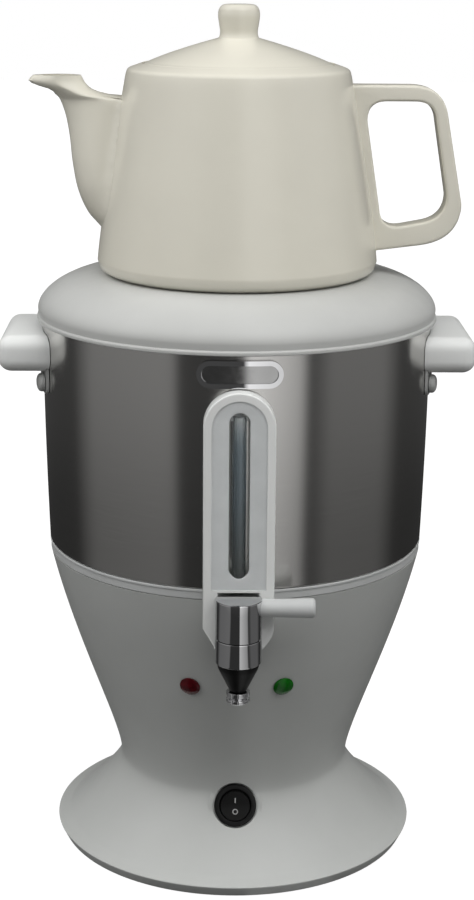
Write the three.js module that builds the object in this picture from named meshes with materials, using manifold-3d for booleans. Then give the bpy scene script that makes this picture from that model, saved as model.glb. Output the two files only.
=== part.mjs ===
// Electric samovar: a moulded pedestal with a steel boiler, a front tap and sight gauge,
// a lift-off shoulder cover and a porcelain teapot that keeps warm on the steam.
// Millimetres, +Z up, -Y towards the tap. Every turned piece shares one upright axis.
import * as THREE from "three";
import { mergeVertices } from "three/addons/utils/BufferGeometryUtils.js";
import Module from "manifold-3d";

const wasm = await Module();
wasm.setup();

// Facets and clearances
const ringSides = 32; // round the pedestal, boiler and cover
const potSides = 24; // round the teapot and its lid
const tapSides = 16; // round the tap and the switch
const tubeSides = 12; // round the lamps and the sight tube
const pinSides = 8; // round screws, rivets and their holes
const nutSides = 6;
const seatGap = 0.3; // left between two pieces that touch
const slideGap = 0.5; // left round a piece that lifts out or turns
const cutOver = 5; // how far a cut runs past the face it opens
const arcSteps = 6; // along an arc of an extruded outline
const smallArcSteps = 2; // along a tight corner
const mergeToleranceShare = 1e-4;

// Pedestal: the foot, its flare, the narrow neck and the bowl under the boiler
const pedestal = {
  footRadius: 100,
  rimUnderside: 0.8,
  rimEdge: 3.4,
  rimRound: 1.6,
  neckRadius: 64.4,
  neckHeight: 45,
  jointRise: 21,
  mouthRadius: 102.5,
  mouthHeight: 168.8,
  wall: 2.6,
};
const flarePullShares = { rimIn: 0.55, rimUp: 0.354, neckUp: 0.81 };
const bowlPullShares = { neckUp: 0.14, mouthDown: 0.45, mouthIn: 0.335 };

// Base plate, its screws and the rubber feet
const basePlate = { edgeGap: 1.5, underside: 2, thickness: 2.4, ventLength: 34, ventWidth: 4 };
const plateScrew = {
  inside: 14,
  headRadius: 3.4,
  headHeight: 1.3,
  shankRadius: 1.7,
  length: 15,
  bossRadius: 4.4,
};
const rubberFoot = { inset: 14, radius: 8.2, stemRadius: 3, stemLength: 6.5 };

const footCircle = pedestal.footRadius - rubberFoot.inset;
const screwCircle = footCircle - plateScrew.inside;

// Boiler: a drawn steel tank with a narrower sump that stands inside the pedestal
const tank = {
  bandOut: 0.4,
  bandFlare: 2.1,
  bandHeight: 121.1,
  bandFootRise: 1.5,
  bandMiddleBulge: 0.5,
  lipRound: 0.6,
  stepIn: 4.6,
  stepRise: 6.1,
  sumpIn: 10.3,
  sumpShoulderDrop: 14.9,
  sumpDepth: 24,
  sumpRound: 3,
  wall: 1.2,
};
const bandFootRadius = pedestal.mouthRadius + tank.bandOut;
const lipRadius = bandFootRadius + tank.bandFlare;
const stepRadius = bandFootRadius - tank.stepIn;
const sumpRadius = stepRadius - tank.sumpIn;
const stepHeight = pedestal.mouthHeight + tank.stepRise;
const bandFootHeight = stepHeight + tank.bandFootRise;
const lipHeight = bandFootHeight + tank.bandHeight;
const sumpShoulderHeight = stepHeight - tank.sumpShoulderDrop;
const sumpFloorHeight = sumpShoulderHeight - tank.sumpDepth;
const sealRing = { bead: 1.4, beadReach: 0.5, inset: 0.5 };

// Heater under the sump
const heater = {
  plateRadius: 70,
  plateThickness: 2.8,
  ringRadius: 48,
  tubeRadius: 3.4,
  endDrop: 13,
  clampWidth: 14,
  clampThickness: 2.6,
  studRadius: 3,
  limiterRadius: 8,
  limiterHeight: 6,
  cutoutRadius: 3.6,
  cutoutLength: 17,
  partReach: 22,
  bladeWidth: 6.3,
  bladeThickness: 0.9,
  bladeLength: 7,
};
const heaterSweepShare = 0.86; // of a full turn that the element goes round
const heaterEndShares = { across: 0.97, along: 1.04 }; // where its two ends drop, by the ring's own ends
const heaterTurnSteps = 20;
const heaterEndSteps = 6;
const terminals = { length: 34, width: 16, height: 13, reach: 34, ridge: 2.2, ways: 3 };
const gland = {
  rise: 9,
  shankRadius: 5.6,
  flangeRadius: 9,
  flangeThickness: 3.4,
  boreRadius: 3.3,
  nutRadius: 9,
  nutThickness: 4,
  shankLength: 12,
};
const glandHeight = pedestal.neckHeight + gland.rise;

// Tap
const tap = {
  standOff: 5.4,
  radius: 11.1,
  headRise: 27.2,
  jointRise: 6.6,
  bodyDrop: 6.7,
  edge: 0.8,
  stemRise: 13,
  stemRadius: 5.2,
  stemBore: 3,
  stemInside: 6,
  boreRadius: 6.2,
  plugRadius: 5.9,
  plugTangRadius: 5.3,
  plugTangHeight: 7,
  portRadius: 2.5,
  coneLength: 15,
  coneRadius: 4.3,
  coneStraight: 2.4,
  tipRadius: 6,
  tipLength: 6.7,
  tipGroove: 0.9,
  nutRadius: 8.4,
  nutThickness: 4.5,
  sealRadius: 8,
};
const stemHeight = sumpFloorHeight + tap.stemRise;
const tapTop = stemHeight + tap.headRise;
const jointHeight = stemHeight + tap.jointRise;
const tapBodyBottom = stemHeight - tap.bodyDrop;
const coneBottom = tapBodyBottom - tap.coneLength;
const tipBottom = coneBottom - tap.tipLength;
const lever = {
  drop: 5,
  length: 27.3,
  rootRadius: 4.6,
  tipRadius: 5.1,
  tipRound: 1.2,
  tangRadius: 2.6,
  tangLength: 5,
};
const leverHeight = tapTop - lever.drop;

// Front plaque, left bare
const plaque = { width: 43, height: 13.8, drop: 3, thickness: 2, rim: 2.4, recess: 0.8 };
const plaqueCentre = lipHeight - plaque.drop - plaque.height / 2;

// Sight gauge on the front of the boiler
const gauge = {
  width: 36,
  footWidth: 25,
  footDrop: 9,
  plaqueGap: 0.7,
  footChamfer: 8,
  projection: 10.7,
  edgeRound: 1.8,
  border: 4.25,
  lensThickness: 2,
  lensRise: 2.2,
  ledge: 2.8,
  slotWidth: 10.4,
  slotInset: 6,
  slotDrop: 10,
};
const gaugeBottom = stemHeight - gauge.footDrop;
const gaugeTop = plaqueCentre - plaque.height / 2 - gauge.plaqueGap;
const lensBottom = tapTop + gauge.lensRise;
const gaugeReach = bandFootRadius + gauge.projection;
const elbow = {
  socketRadius: 4.7,
  height: 6.2,
  grip: 2.2,
  nippleRadius: 1.7,
  nippleBore: 0.9,
  nippleInside: 3,
};
const sightTube = { radius: 3.5, wall: 0.9, setBack: 4.5, rise: 4.2, topClear: 1.35 };
const sightTubeReach = gaugeReach - sightTube.setBack;
const sightTubeBottom = lensBottom + sightTube.rise;
const pocketTop = gaugeTop - gauge.border - gauge.ledge;
const sightTubeTop = pocketTop - sightTube.topClear - (elbow.height - elbow.grip);
const tapReach = gaugeReach + tap.standOff;

// Pilot lamps and the round rocker switch
const lamp = {
  drop: 21,
  offset: 24.4,
  lensRadius: 5.5,
  lensEdge: 0.7,
  lensDome: 1.2,
  lensShoulder: 0.95,
  stemRadius: 4.4,
  stemLength: 9,
  holderRadius: 6.4,
  holderLength: 13,
};
const rocker = {
  drop: 6.1,
  proud: 1.5,
  flangeRadius: 11.5,
  flangeThickness: 2,
  flangeRound: 0.7,
  bodyRadius: 9.9,
  bodyDepth: 14,
  pocketRadius: 8.6,
  pocketDepth: 4.4,
  keyRadius: 7.9,
  keyEdge: 3,
  keyMiddle: 1.5,
  keyBelly: 2.9,
  keyHip: 0.5,
  pivotDepth: 1.5,
  recessRadius: 12.2,
  padRadius: 14.6,
  padThickness: 3,
};
const lampHeight = sumpFloorHeight - lamp.drop;
const rockerHeight = pedestal.neckHeight - rocker.drop;
const rockerElevation = THREE.MathUtils.degToRad(24);
const rockerTilt = THREE.MathUtils.degToRad(8);

// Side handles, their straps and rivets
const handle = {
  projection: 19,
  halfWidth: 36,
  drop: 6.5,
  height: 19,
  edgeRound: 4.8,
  cornerRadius: 4,
  rootInset: 22,
  gripHalfWidth: 25,
  gripRoot: 4.4,
  gripLip: 4.6,
  gripRoof: 5,
};
const handleReach = lipRadius + handle.projection;
const handleTop = lipHeight - handle.drop;
const handleBottom = handleTop - handle.height;
const gripCeiling = handleTop - handle.gripRoof;
const strap = {
  thickness: 1.3,
  halfWidth: 38,
  topInset: 3,
  below: 7,
  cornerRadius: 5,
  studRadius: 2,
  studLength: 9,
  studOffset: 30,
  studDrop: 10,
};
const rivet = {
  headRadius: 5,
  headHeight: 3.6,
  shankRadius: 2,
  innerHeadRadius: 3.4,
  innerHeadHeight: 1,
  offset: 27.5,
  drop: 6.4,
};
const rivetHeight = handleBottom - rivet.drop;
const studHeight = handleTop - strap.studDrop;
const [strapBottom, strapTop] = [rivetHeight - strap.below, handleTop - strap.topInset];

// Lift-off shoulder cover
const cover = {
  rimOut: 1.7,
  rimLap: 0.5,
  rimEdge: 5,
  rimRound: 1.6,
  seatRadius: 71.8,
  seatRise: 23.7,
  coneBulge: 6.4,
  wall: 2.4,
  collarClear: 4.6,
  collarHeight: 2.2,
  collarWall: 3,
  throatDepth: 6,
  skirtDepth: 8.5,
  skirtWall: 2.2,
};
const coverRimRadius = lipRadius + cover.rimOut;
const coverRimBottom = lipHeight - cover.rimLap;
const seatHeight = lipHeight + cover.seatRise;

// Teapot and its lid
const pot = {
  footRadius: 69.8,
  footWidth: 7.8,
  footRecess: 2.4,
  footRound: 1.2,
  heelOut: 3.7,
  heelRise: 2,
  bellyOut: 1.5,
  bellyRise: 6.5,
  bellyPullIn: 1.8,
  bellyPullRise: 28.5,
  height: 102.9,
  shoulderRadius: 59.6,
  shoulderRound: 3.2,
  mouthIn: 9,
  mouthRise: 6.8,
  ledgeDepth: 3.4,
  ledgeWidth: 4.2,
  throatDepth: 4.6,
  wall: 4.2,
  floor: 4.4,
};
const potFoot = seatHeight + seatGap;
const potFloor = potFoot + pot.footRecess + pot.floor;
const potShoulder = potFoot + pot.height;
const potMouth = potShoulder + pot.mouthRise;
const footInnerRadius = pot.footRadius - pot.footWidth;
const heelRadius = pot.footRadius + pot.heelOut;
const bellyRadius = heelRadius + pot.bellyOut;
const mouthRadius = pot.shoulderRadius - pot.mouthIn;
const throatRadius = mouthRadius - pot.ledgeWidth;
const collarRadius = footInnerRadius - cover.collarClear;

// Loop handle: its corners by their rises and drops within the loop, and their depths from the grip
const potHandle = {
  topDrop: 3.7,
  bottomRise: 12.2,
  gripOut: 44.4,
  gripRise: 23.3,
  shoulderIn: 9.1,
  shoulderDrop: 14.7,
  topIn: 28.4,
  heelIn: 12.4,
  heelRise: 2.9,
  underIn: 33.4,
  rootTopDepth: 13.6,
  rootBottomDepth: 11,
  thickness: 14,
  edgeRound: 3.2,
  barDepth: 9.7,
  shoulderBarDepth: 8.7,
  topBarDepth: 8.4,
  underBarDepth: 10.8,
  bendTopDrop: 10.3,
  bendBottomRise: 13.5,
  sideTopDrop: 9.3,
  sideBottomRise: 10.5,
  sideTopOut: 9.8,
  sideBottomOut: 1.4,
};
const gripReach = bellyRadius + potHandle.gripOut;
const loopTop = potShoulder - potHandle.topDrop;
const loopBottom = potFoot + potHandle.bottomRise;
const holeTop = loopTop - potHandle.topBarDepth;
const holeBottom = loopBottom + potHandle.underBarDepth;
// Where the hole's corners start to bend, as shares of its width
const holeBendShares = { topInner: 0.3, topOuter: 0.7, bottomInner: 0.35, bottomOuter: 0.71 };
const spout = { rise: 24, lipDrop: 6.7, out: 35.3, rootWidth: 36, rootInside: 50, wall: 3 };
const spoutBottom = potFoot + spout.rise;
const spoutTop = potMouth - spout.lipDrop;
const spoutReach = bellyRadius + spout.out;
// Each row: height up the spout, outer edge, inner edge, width, and how drawn to a point it is
const spoutShares = [
  [0, 0.664, 0.453, 0.62, 0],
  [0.09, 0.722, 0.453, 0.9, 0],
  [0.24, 0.77, 0.453, 1, 0],
  [0.42, 0.795, 0.453, 0.92, 0],
  [0.6, 0.808, 0.453, 0.78, 0],
  [0.74, 0.826, 0.453, 0.67, 0.05],
  [0.86, 0.86, 0.453, 0.59, 0.12],
  [0.93, 0.905, 0.57, 0.55, 0.22],
  [0.962, 0.965, 0.68, 0.53, 0.32],
  [1, 1, 0.73, 0.52, 0.42],
];
const spoutSides = 12;
const strainer = { holeRadius: 2.4, spacing: 7.5, rise: 46.5, rows: 2, columns: 3 };
const lid = {
  flangeGap: 0.6,
  edgeHeight: 3,
  crownRadius: 35,
  crownRise: 6.3,
  neckRadius: 10,
  neckRise: 13.4,
  knobWaistRadius: 9.8,
  knobRadius: 11.2,
  knobWaist: 2.4,
  knobWide: 11.4,
  knobHeight: 16.8,
  knobRound: 1.6,
  wall: 3.4,
  crownWall: 5.1,
  spigotDepth: 10,
  spigotWall: 3,
};

// Finishes
const finish = {
  whitePlastic: { color: 0xe4e4e2, roughness: 0.38, metalness: 0 },
  coverPlastic: { color: 0xe2e3e3, roughness: 0.34, metalness: 0 },
  steel: { color: 0x9a9a96, roughness: 0.26, metalness: 1 },
  chrome: { color: 0xd6d6d6, roughness: 0.06, metalness: 1 },
  aluminium: { color: 0xb9bbbd, roughness: 0.45, metalness: 1 },
  brass: { color: 0xb59a55, roughness: 0.35, metalness: 1 },
  porcelain: { color: 0xe6e3d6, roughness: 0.14, metalness: 0 },
  rubber: { color: 0x2a2a2a, roughness: 0.85, metalness: 0 },
  softSeal: { color: 0xb9b9b4, roughness: 0.6, metalness: 0 },
  blackPlastic: { color: 0x181818, roughness: 0.4, metalness: 0 },
  ceramic: { color: 0xcfc9bb, roughness: 0.7, metalness: 0 },
  frosted: { color: 0xc2c6c9, roughness: 0.5, metalness: 0, transparent: true, opacity: 0.7 },
  glass: { color: 0xaebfca, roughness: 0.08, metalness: 0, transparent: true, opacity: 0.45 },
  redLens: { color: 0x6e0f1e, roughness: 0.2, metalness: 0 },
  greenLens: { color: 0x0f7a24, roughness: 0.2, metalness: 0 },
};

const point = (x, y) => new THREE.Vector2(x, y);
const quarterTurn = Math.PI / 2;

// A closed solid from a three.js geometry, with shared points merged and faces turned outwards.
function solid(geometry) {
  const bare = new THREE.BufferGeometry();
  bare.setAttribute("position", geometry.getAttribute("position"));
  if (geometry.index) bare.setIndex(geometry.index);
  const merged = mergeVertices(bare, mergeToleranceShare);
  const found = merged.index.array;
  const faces = [];
  for (let i = 0; i < found.length; i += 3) {
    const [a, b, c] = [found[i], found[i + 1], found[i + 2]];
    if (a !== b && b !== c && c !== a) faces.push([a, b, c]);
  }
  const made = manifold(merged, faces);
  if (made.volume() > 0) return made;
  return manifold(merged, faces.map(([a, b, c]) => [a, c, b]));
}

function manifold(geometry, faces) {
  return new wasm.Manifold(
    new wasm.Mesh({
      numProp: 3,
      vertProperties: geometry.getAttribute("position").array,
      triVerts: new Uint32Array(faces.flat()),
    }),
  );
}

const joined = (solids) => solids.reduce((a, b) => a.add(b));
const without = (body, cuts) => cuts.reduce((a, b) => a.subtract(b), body);

// A profile of [radius, height] points turned round the upright axis.
function turned(profile, sides = ringSides) {
  const points = profile.map(([radius, height]) => point(radius, height));
  const lathe = new THREE.LatheGeometry([...points, points[0].clone()], sides);
  return lathe.rotateX(quarterTurn);
}

const disc = (radius, bottom, top, sides = ringSides) =>
  turned([[0, bottom], [radius, bottom], [radius, top], [0, top]], sides);

const tube = (outer, inner, bottom, top, sides = ringSides) =>
  turned([[inner, bottom], [outer, bottom], [outer, top], [inner, top]], sides);

// Moves an outline square to itself, towards the axis when it runs upwards.
function inset(outline, distance) {
  return outline.map(([x, y], i) => {
    const [x0, y0] = outline[Math.max(i - 1, 0)];
    const [x1, y1] = outline[Math.min(i + 1, outline.length - 1)];
    const run = Math.hypot(x1 - x0, y1 - y0);
    return [x - (distance * (y1 - y0)) / run, y + (distance * (x1 - x0)) / run];
  });
}

const cubic = (steps, ...ends) => {
  const curve = new THREE.CubicBezierCurve(...ends.map(([x, y]) => point(x, y)));
  return curve.getPoints(steps).map((p) => [p.x, p.y]);
};
const quadratic = (steps, ...ends) => {
  const curve = new THREE.QuadraticBezierCurve(...ends.map(([x, y]) => point(x, y)));
  return curve.getPoints(steps).map((p) => [p.x, p.y]);
};

// An outline in x and z, extruded from one y to another.
function standing(shape, back, front, options = {}) {
  const depth = back - front;
  const settings = { depth, bevelEnabled: false, curveSegments: arcSteps, ...options };
  const made = new THREE.ExtrudeGeometry(shape, settings);
  return made.rotateX(quarterTurn).translate(0, back, 0);
}

// A round-ended upright slot or pill, centred on x = 0.
function pill(width, bottom, top) {
  const radius = width / 2;
  const shape = new THREE.Shape();
  shape.absarc(0, top - radius, radius, 0, Math.PI);
  shape.absarc(0, bottom + radius, radius, Math.PI, 2 * Math.PI);
  return shape;
}

// An upright outline with a square foot and a round top, centred on x = 0.
function arch(width, bottom, top) {
  const shape = new THREE.Shape();
  shape.moveTo(-width / 2, bottom);
  shape.lineTo(width / 2, bottom);
  shape.absarc(0, top - width / 2, width / 2, 0, Math.PI);
  return shape;
}

// A rectangle with rounded corners, by its low and high corners.
function roundedRectangle(x0, y0, x1, y1, radius) {
  const shape = new THREE.Shape();
  shape.absarc(x1 - radius, y1 - radius, radius, 0, quarterTurn);
  shape.absarc(x0 + radius, y1 - radius, radius, quarterTurn, Math.PI);
  shape.absarc(x0 + radius, y0 + radius, radius, Math.PI, 3 * quarterTurn);
  shape.absarc(x1 - radius, y0 + radius, radius, 3 * quarterTurn, 4 * quarterTurn);
  return shape;
}

// A rod along y, at a height, from one y to another.
const rodAlongY = (radius, height, back, front, sides = tapSides) =>
  disc(radius, 0, back - front, sides).rotateX(quarterTurn).translate(0, back, height);

// A skin through rings of points, closed at both ends.
function lofted(rings) {
  const count = rings[0].length;
  const corners = rings.flat();
  const position = new THREE.Float32BufferAttribute(corners.flat(), 3);
  const faces = [];
  for (let r = 0; r + 1 < rings.length; r += 1) {
    for (let i = 0; i < count; i += 1) {
      const j = (i + 1) % count;
      const [a, b] = [r * count + i, r * count + j];
      faces.push(a, b, b + count, a, b + count, a + count);
    }
  }
  const last = (rings.length - 1) * count;
  for (let i = 1; i + 1 < count; i += 1) {
    faces.push(0, i + 1, i);
    faces.push(last, last + i, last + i + 1);
  }
  return new THREE.BufferGeometry().setAttribute("position", position).setIndex(faces);
}

// Outlines that several pieces share
const flareStart = [
  pedestal.footRadius - pedestal.rimRound,
  pedestal.rimUnderside + pedestal.rimEdge + pedestal.rimRound,
];
const neckStart = [pedestal.neckRadius, pedestal.neckHeight];
const mouthEnd = [pedestal.mouthRadius, pedestal.mouthHeight];
const flareRun = flareStart[0] - neckStart[0];
const flareRise = neckStart[1] - flareStart[1];
const bowlRun = mouthEnd[0] - neckStart[0];
const bowlRise = mouthEnd[1] - neckStart[1];

const flareOutline = (steps) =>
  cubic(
    steps,
    flareStart,
    [flareStart[0] - flarePullShares.rimIn * flareRun, flareStart[1] + flarePullShares.rimUp * flareRise],
    [neckStart[0], flareStart[1] + flarePullShares.neckUp * flareRise],
    neckStart,
  );
const bowlOutline = (steps) =>
  cubic(
    steps,
    neckStart,
    [neckStart[0], neckStart[1] + bowlPullShares.neckUp * bowlRise],
    [mouthEnd[0] - bowlPullShares.mouthIn * bowlRun, mouthEnd[1] - bowlPullShares.mouthDown * bowlRise],
    mouthEnd,
  );
const flareSteps = 5;
const bowlSteps = 6;
const coneSteps = 3;
const potSteps = 4;
const domeSteps = 3;
const innerSteps = 3;

const bandMiddleHeight = (bandFootHeight + lipHeight) / 2;
const bandMiddleRadius = (bandFootRadius + lipRadius) / 2 + tank.bandMiddleBulge;
const bandOutline = [
  [bandFootRadius, bandFootHeight],
  [bandMiddleRadius, bandMiddleHeight],
  [lipRadius, lipHeight],
];

// The outside of the bowl, the seal ring and the boiler, grown by a distance.
function envelope(grow) {
  const side = [...bowlOutline(bowlSteps), ...bandOutline].map(([radius, height]) => [radius + grow, height]);
  const top = lipHeight + cutOver;
  return solid(turned([[0, pedestal.neckHeight], ...side, [lipRadius + grow, top], [0, top]]));
}

// Radius of an outline at a height, and how far it leans outwards there.
function outlineAt(outline, height) {
  const next = outline.findIndex(([, z]) => z > height);
  const [[r0, z0], [r1, z1]] = [outline[next - 1], outline[next]];
  const radius = r0 + ((r1 - r0) * (height - z0)) / (z1 - z0);
  return { radius, lean: Math.atan2(r1 - r0, z1 - z0) };
}
const bowlAt = (height) => outlineAt(bowlOutline(bowlSteps * bowlSteps), height);
const rockerReach = outlineAt(flareOutline(flareSteps * flareSteps), rockerHeight).radius + rocker.proud;

// Four places on the diagonals, at a radius.
const diagonalPlaces = (radius) =>
  [0, 1, 2, 3].map((i) => {
    const turn = quarterTurn * (i + 1 / 2);
    return [radius * Math.cos(turn), radius * Math.sin(turn)];
  });
const plateTop = basePlate.underside + basePlate.thickness;
const screwHeadTop = basePlate.underside - seatGap;
const screwTop = screwHeadTop - plateScrew.headHeight + plateScrew.length;

// Turns a piece built on its own +Z, centred on its panel, to face out of the flare.
const toRockerPanel = (geometry) =>
  geometry
    .rotateX(quarterTurn - rockerElevation)
    .translate(
      0,
      -rockerReach + rocker.flangeThickness * Math.cos(rockerElevation),
      rockerHeight - rocker.flangeThickness * Math.sin(rockerElevation),
    );

// Turns a piece built on its own +Z to stand on the bowl beside the tap.
function toLampPlace(geometry, side) {
  const { radius, lean } = bowlAt(lampHeight);
  const swing = Math.asin(lamp.offset / radius);
  return geometry
    .rotateX(quarterTurn + lean)
    .translate(0, -radius, lampHeight)
    .rotateZ(side * swing);
}

// Pedestal and base

function pedestalShell() {
  const rim = [
    [pedestal.footRadius, pedestal.rimUnderside],
    [pedestal.footRadius, pedestal.rimUnderside + pedestal.rimEdge],
  ];
  const outside = [...rim, ...flareOutline(flareSteps), ...bowlOutline(bowlSteps).slice(1)];
  const inside = inset([...flareOutline(innerSteps), ...bowlOutline(innerSteps).slice(1)], pedestal.wall);
  inside[inside.length - 1] = [pedestal.mouthRadius - pedestal.wall, pedestal.mouthHeight];
  const innerFoot = [pedestal.footRadius - pedestal.wall, pedestal.rimUnderside];
  const shell = solid(turned([...outside, ...inside.reverse(), innerFoot]));
  const outer = solid(turned([[0, pedestal.rimUnderside], ...outside, [0, pedestal.mouthHeight]]));
  const bosses = diagonalPlaces(screwCircle).map(([x, y]) => {
    const post = disc(plateScrew.bossRadius, plateTop + seatGap, pedestal.neckHeight, pinSides);
    return solid(post.translate(x, y, 0)).intersect(outer);
  });
  const pad = solid(toRockerPanel(disc(rocker.padRadius, -rocker.padThickness, -seatGap, tapSides)));
  const holes = [
    ...diagonalPlaces(screwCircle).map(([x, y]) =>
      solid(disc(plateScrew.shankRadius + seatGap, 0, screwTop + seatGap, pinSides).translate(x, y, 0)),
    ),
    solid(toRockerPanel(disc(rocker.recessRadius, -seatGap, rocker.bodyDepth, tapSides))),
    solid(toRockerPanel(disc(rocker.bodyRadius + seatGap, -rocker.bodyDepth, rocker.bodyDepth, tapSides))),
    solid(rodAlongY(tap.stemRadius + seatGap, stemHeight, 0, -pedestal.footRadius)).subtract(
      solid(disc(sumpRadius, 0, lipHeight)),
    ),
    solid(rodAlongY(gland.shankRadius + seatGap, glandHeight, pedestal.footRadius, pedestal.neckRadius / 2)),
    ...[-1, 1].map((side) =>
      solid(toLampPlace(disc(lamp.stemRadius + seatGap, -cutOver, cutOver, tubeSides), side)),
    ),
  ];
  const middle = solid(disc(pedestal.neckRadius / 2, 0, pedestal.mouthHeight));
  return without(joined([shell, ...bosses, pad.subtract(middle)]), holes);
}

// The shell is welded from a foot and a bowl, which meet a little above the neck.
const pedestalJoint = pedestal.neckHeight + pedestal.jointRise;
const pedestalPart = (bottom, top) =>
  pedestalShell().intersect(solid(disc(pedestal.footRadius + pedestal.mouthRadius, bottom, top, nutSides)));

function basePlateDisc() {
  const radius = pedestal.footRadius - pedestal.wall - basePlate.edgeGap;
  const screwHoles = diagonalPlaces(screwCircle).map(([x, y]) =>
    solid(disc(plateScrew.shankRadius + seatGap, 0, plateTop + cutOver, pinSides).translate(x, y, 0)),
  );
  const footHoles = diagonalPlaces(footCircle).map(([x, y]) =>
    solid(disc(rubberFoot.stemRadius + seatGap, 0, plateTop + cutOver, pinSides).translate(x, y, 0)),
  );
  const vents = [-1, 0, 1].map((row) => {
    const y = row * 3 * basePlate.ventWidth;
    const half = basePlate.ventLength / 2;
    return solid(new THREE.BoxGeometry(2 * half, basePlate.ventWidth, cutOver * 2).translate(0, y, plateTop));
  });
  return without(solid(disc(radius, basePlate.underside, plateTop)), [...screwHoles, ...footHoles, ...vents]);
}

function plateScrewBody() {
  const bottom = screwHeadTop - plateScrew.headHeight;
  return solid(
    turned(
      [
        [0, bottom],
        [plateScrew.headRadius, bottom],
        [plateScrew.headRadius, screwHeadTop],
        [plateScrew.shankRadius, screwHeadTop],
        [plateScrew.shankRadius, screwTop],
        [0, screwTop],
      ],
      pinSides,
    ),
  );
}

function rubberFootBody() {
  const top = basePlate.underside - seatGap;
  return solid(
    turned(
      [
        [0, 0],
        [rubberFoot.radius, 0],
        [rubberFoot.radius, top],
        [rubberFoot.stemRadius, top],
        [rubberFoot.stemRadius, rubberFoot.stemLength],
        [0, rubberFoot.stemLength],
      ],
      pinSides,
    ),
  );
}

// Boiler

function sealRingBody() {
  const bottom = pedestal.mouthHeight + seatGap;
  const top = stepHeight - seatGap;
  const inner = stepRadius + slideGap;
  const face = bandFootRadius - sealRing.inset;
  return solid(
    turned([
      [inner, bottom],
      [face, bottom],
      [face, top - sealRing.bead],
      [face + sealRing.beadReach, top - sealRing.bead],
      [face + sealRing.beadReach, top],
      [inner, top],
    ]),
  );
}

// The satin band, with a flange at its foot that lies on the sump's rim.
function boilerBand() {
  const flange = stepRadius - tank.wall;
  const shell = solid(
    turned([
      [flange, stepHeight],
      [bandFootRadius - tank.lipRound, stepHeight],
      ...bandOutline,
      [lipRadius - tank.wall, lipHeight],
      [bandMiddleRadius - tank.wall, bandMiddleHeight],
      [bandFootRadius - tank.wall, stepHeight + tank.wall],
      [flange, stepHeight + tank.wall],
    ]),
  );
  const nippleHoles = tubeEnds.map((tubeEnd) =>
    solid(rodAlongY(elbow.nippleRadius + seatGap, nippleHeight(tubeEnd), 0, -gaugeReach, pinSides)),
  );
  return without(shell, [...nippleHoles, ...rivetPlaces().map((place) => rivetHole(place))]);
}

// The deep dish welded under the band, which stands in the pedestal's bowl.
function boilerSump() {
  const floor = sumpFloorHeight + tank.wall;
  const rim = stepHeight - seatGap;
  const dish = solid(
    turned([
      [0, sumpFloorHeight],
      [sumpRadius - tank.sumpRound, sumpFloorHeight],
      [sumpRadius, sumpFloorHeight + tank.sumpRound],
      [sumpRadius, sumpShoulderHeight],
      [stepRadius, rim],
      [stepRadius - tank.wall, rim],
      [sumpRadius - tank.wall, sumpShoulderHeight + tank.wall / 2],
      [sumpRadius - tank.wall, floor + tank.sumpRound / 2],
      [sumpRadius - tank.sumpRound, floor],
      [0, floor],
    ]),
  );
  return dish.subtract(solid(rodAlongY(tap.stemRadius + seatGap, stemHeight, 0, -tapReach)));
}

// Heater and wiring parts

const heaterPlateTop = sumpFloorHeight - seatGap;
const heaterPlateBottom = heaterPlateTop - heater.plateThickness;
const elementHeight = heaterPlateBottom - 2 * seatGap - heater.tubeRadius;

const heaterPlate = () => solid(disc(heater.plateRadius, heaterPlateBottom, heaterPlateTop, tapSides));

function heaterElement() {
  const turns = heaterTurnSteps;
  const sweep = 2 * Math.PI * heaterSweepShare;
  const start = -quarterTurn + (2 * Math.PI - sweep) / 2;
  const ring = Array.from({ length: turns + 1 }, (_, i) => {
    const turn = start + (sweep * i) / turns;
    const [x, y] = [heater.ringRadius * Math.cos(turn), heater.ringRadius * Math.sin(turn)];
    return new THREE.Vector3(x, y, elementHeight);
  });
  const dropped = (p, share) =>
    new THREE.Vector3(
      p.x * heaterEndShares.across,
      p.y * heaterEndShares.along,
      p.z - heater.endDrop * share,
    );
  const [first, last] = [ring[0], ring[turns]];
  const places = [dropped(first, 1), dropped(first, 1 / 2), ...ring, dropped(last, 1 / 2), dropped(last, 1)];
  const extrudePath = new THREE.CatmullRomCurve3(places, false, "centripetal");
  const section = new THREE.Shape().absarc(0, 0, heater.tubeRadius, 0, 2 * Math.PI);
  const steps = turns + heaterEndSteps;
  return solid(new THREE.ExtrudeGeometry(section, { steps, extrudePath, curveSegments: nutSides / 2 }));
}

function heaterClamp() {
  const top = elementHeight - heater.tubeRadius - seatGap;
  const bottom = top - heater.clampThickness;
  const half = heater.ringRadius + heater.tubeRadius * 2;
  const bar = new THREE.BoxGeometry(2 * half, heater.clampWidth, heater.clampThickness);
  const stud = solid(disc(heater.studRadius, bottom, heaterPlateBottom - seatGap, pinSides));
  return solid(bar.translate(0, 0, (top + bottom) / 2)).add(stud);
}

function heatLimiter() {
  const top = heaterPlateBottom - seatGap;
  const bottom = top - heater.limiterHeight;
  const puck = solid(disc(heater.limiterRadius, bottom, top, tapSides));
  const length = heater.bladeLength + heater.limiterHeight / 2;
  const blades = [-1, 1].map((side) =>
    solid(
      new THREE.BoxGeometry(heater.bladeThickness, heater.bladeWidth, length).translate(
        (side * heater.limiterRadius) / 2,
        0,
        bottom - heater.bladeLength + length / 2,
      ),
    ),
  );
  return joined([puck, ...blades]);
}

function thermalCutout() {
  const height = heaterPlateBottom - seatGap - heater.cutoutRadius;
  const half = heater.cutoutLength / 2;
  const lying = disc(heater.cutoutRadius, -half, half, pinSides).rotateZ(quarterTurn).rotateY(quarterTurn);
  return solid(lying.translate(0, 0, height));
}

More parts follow.
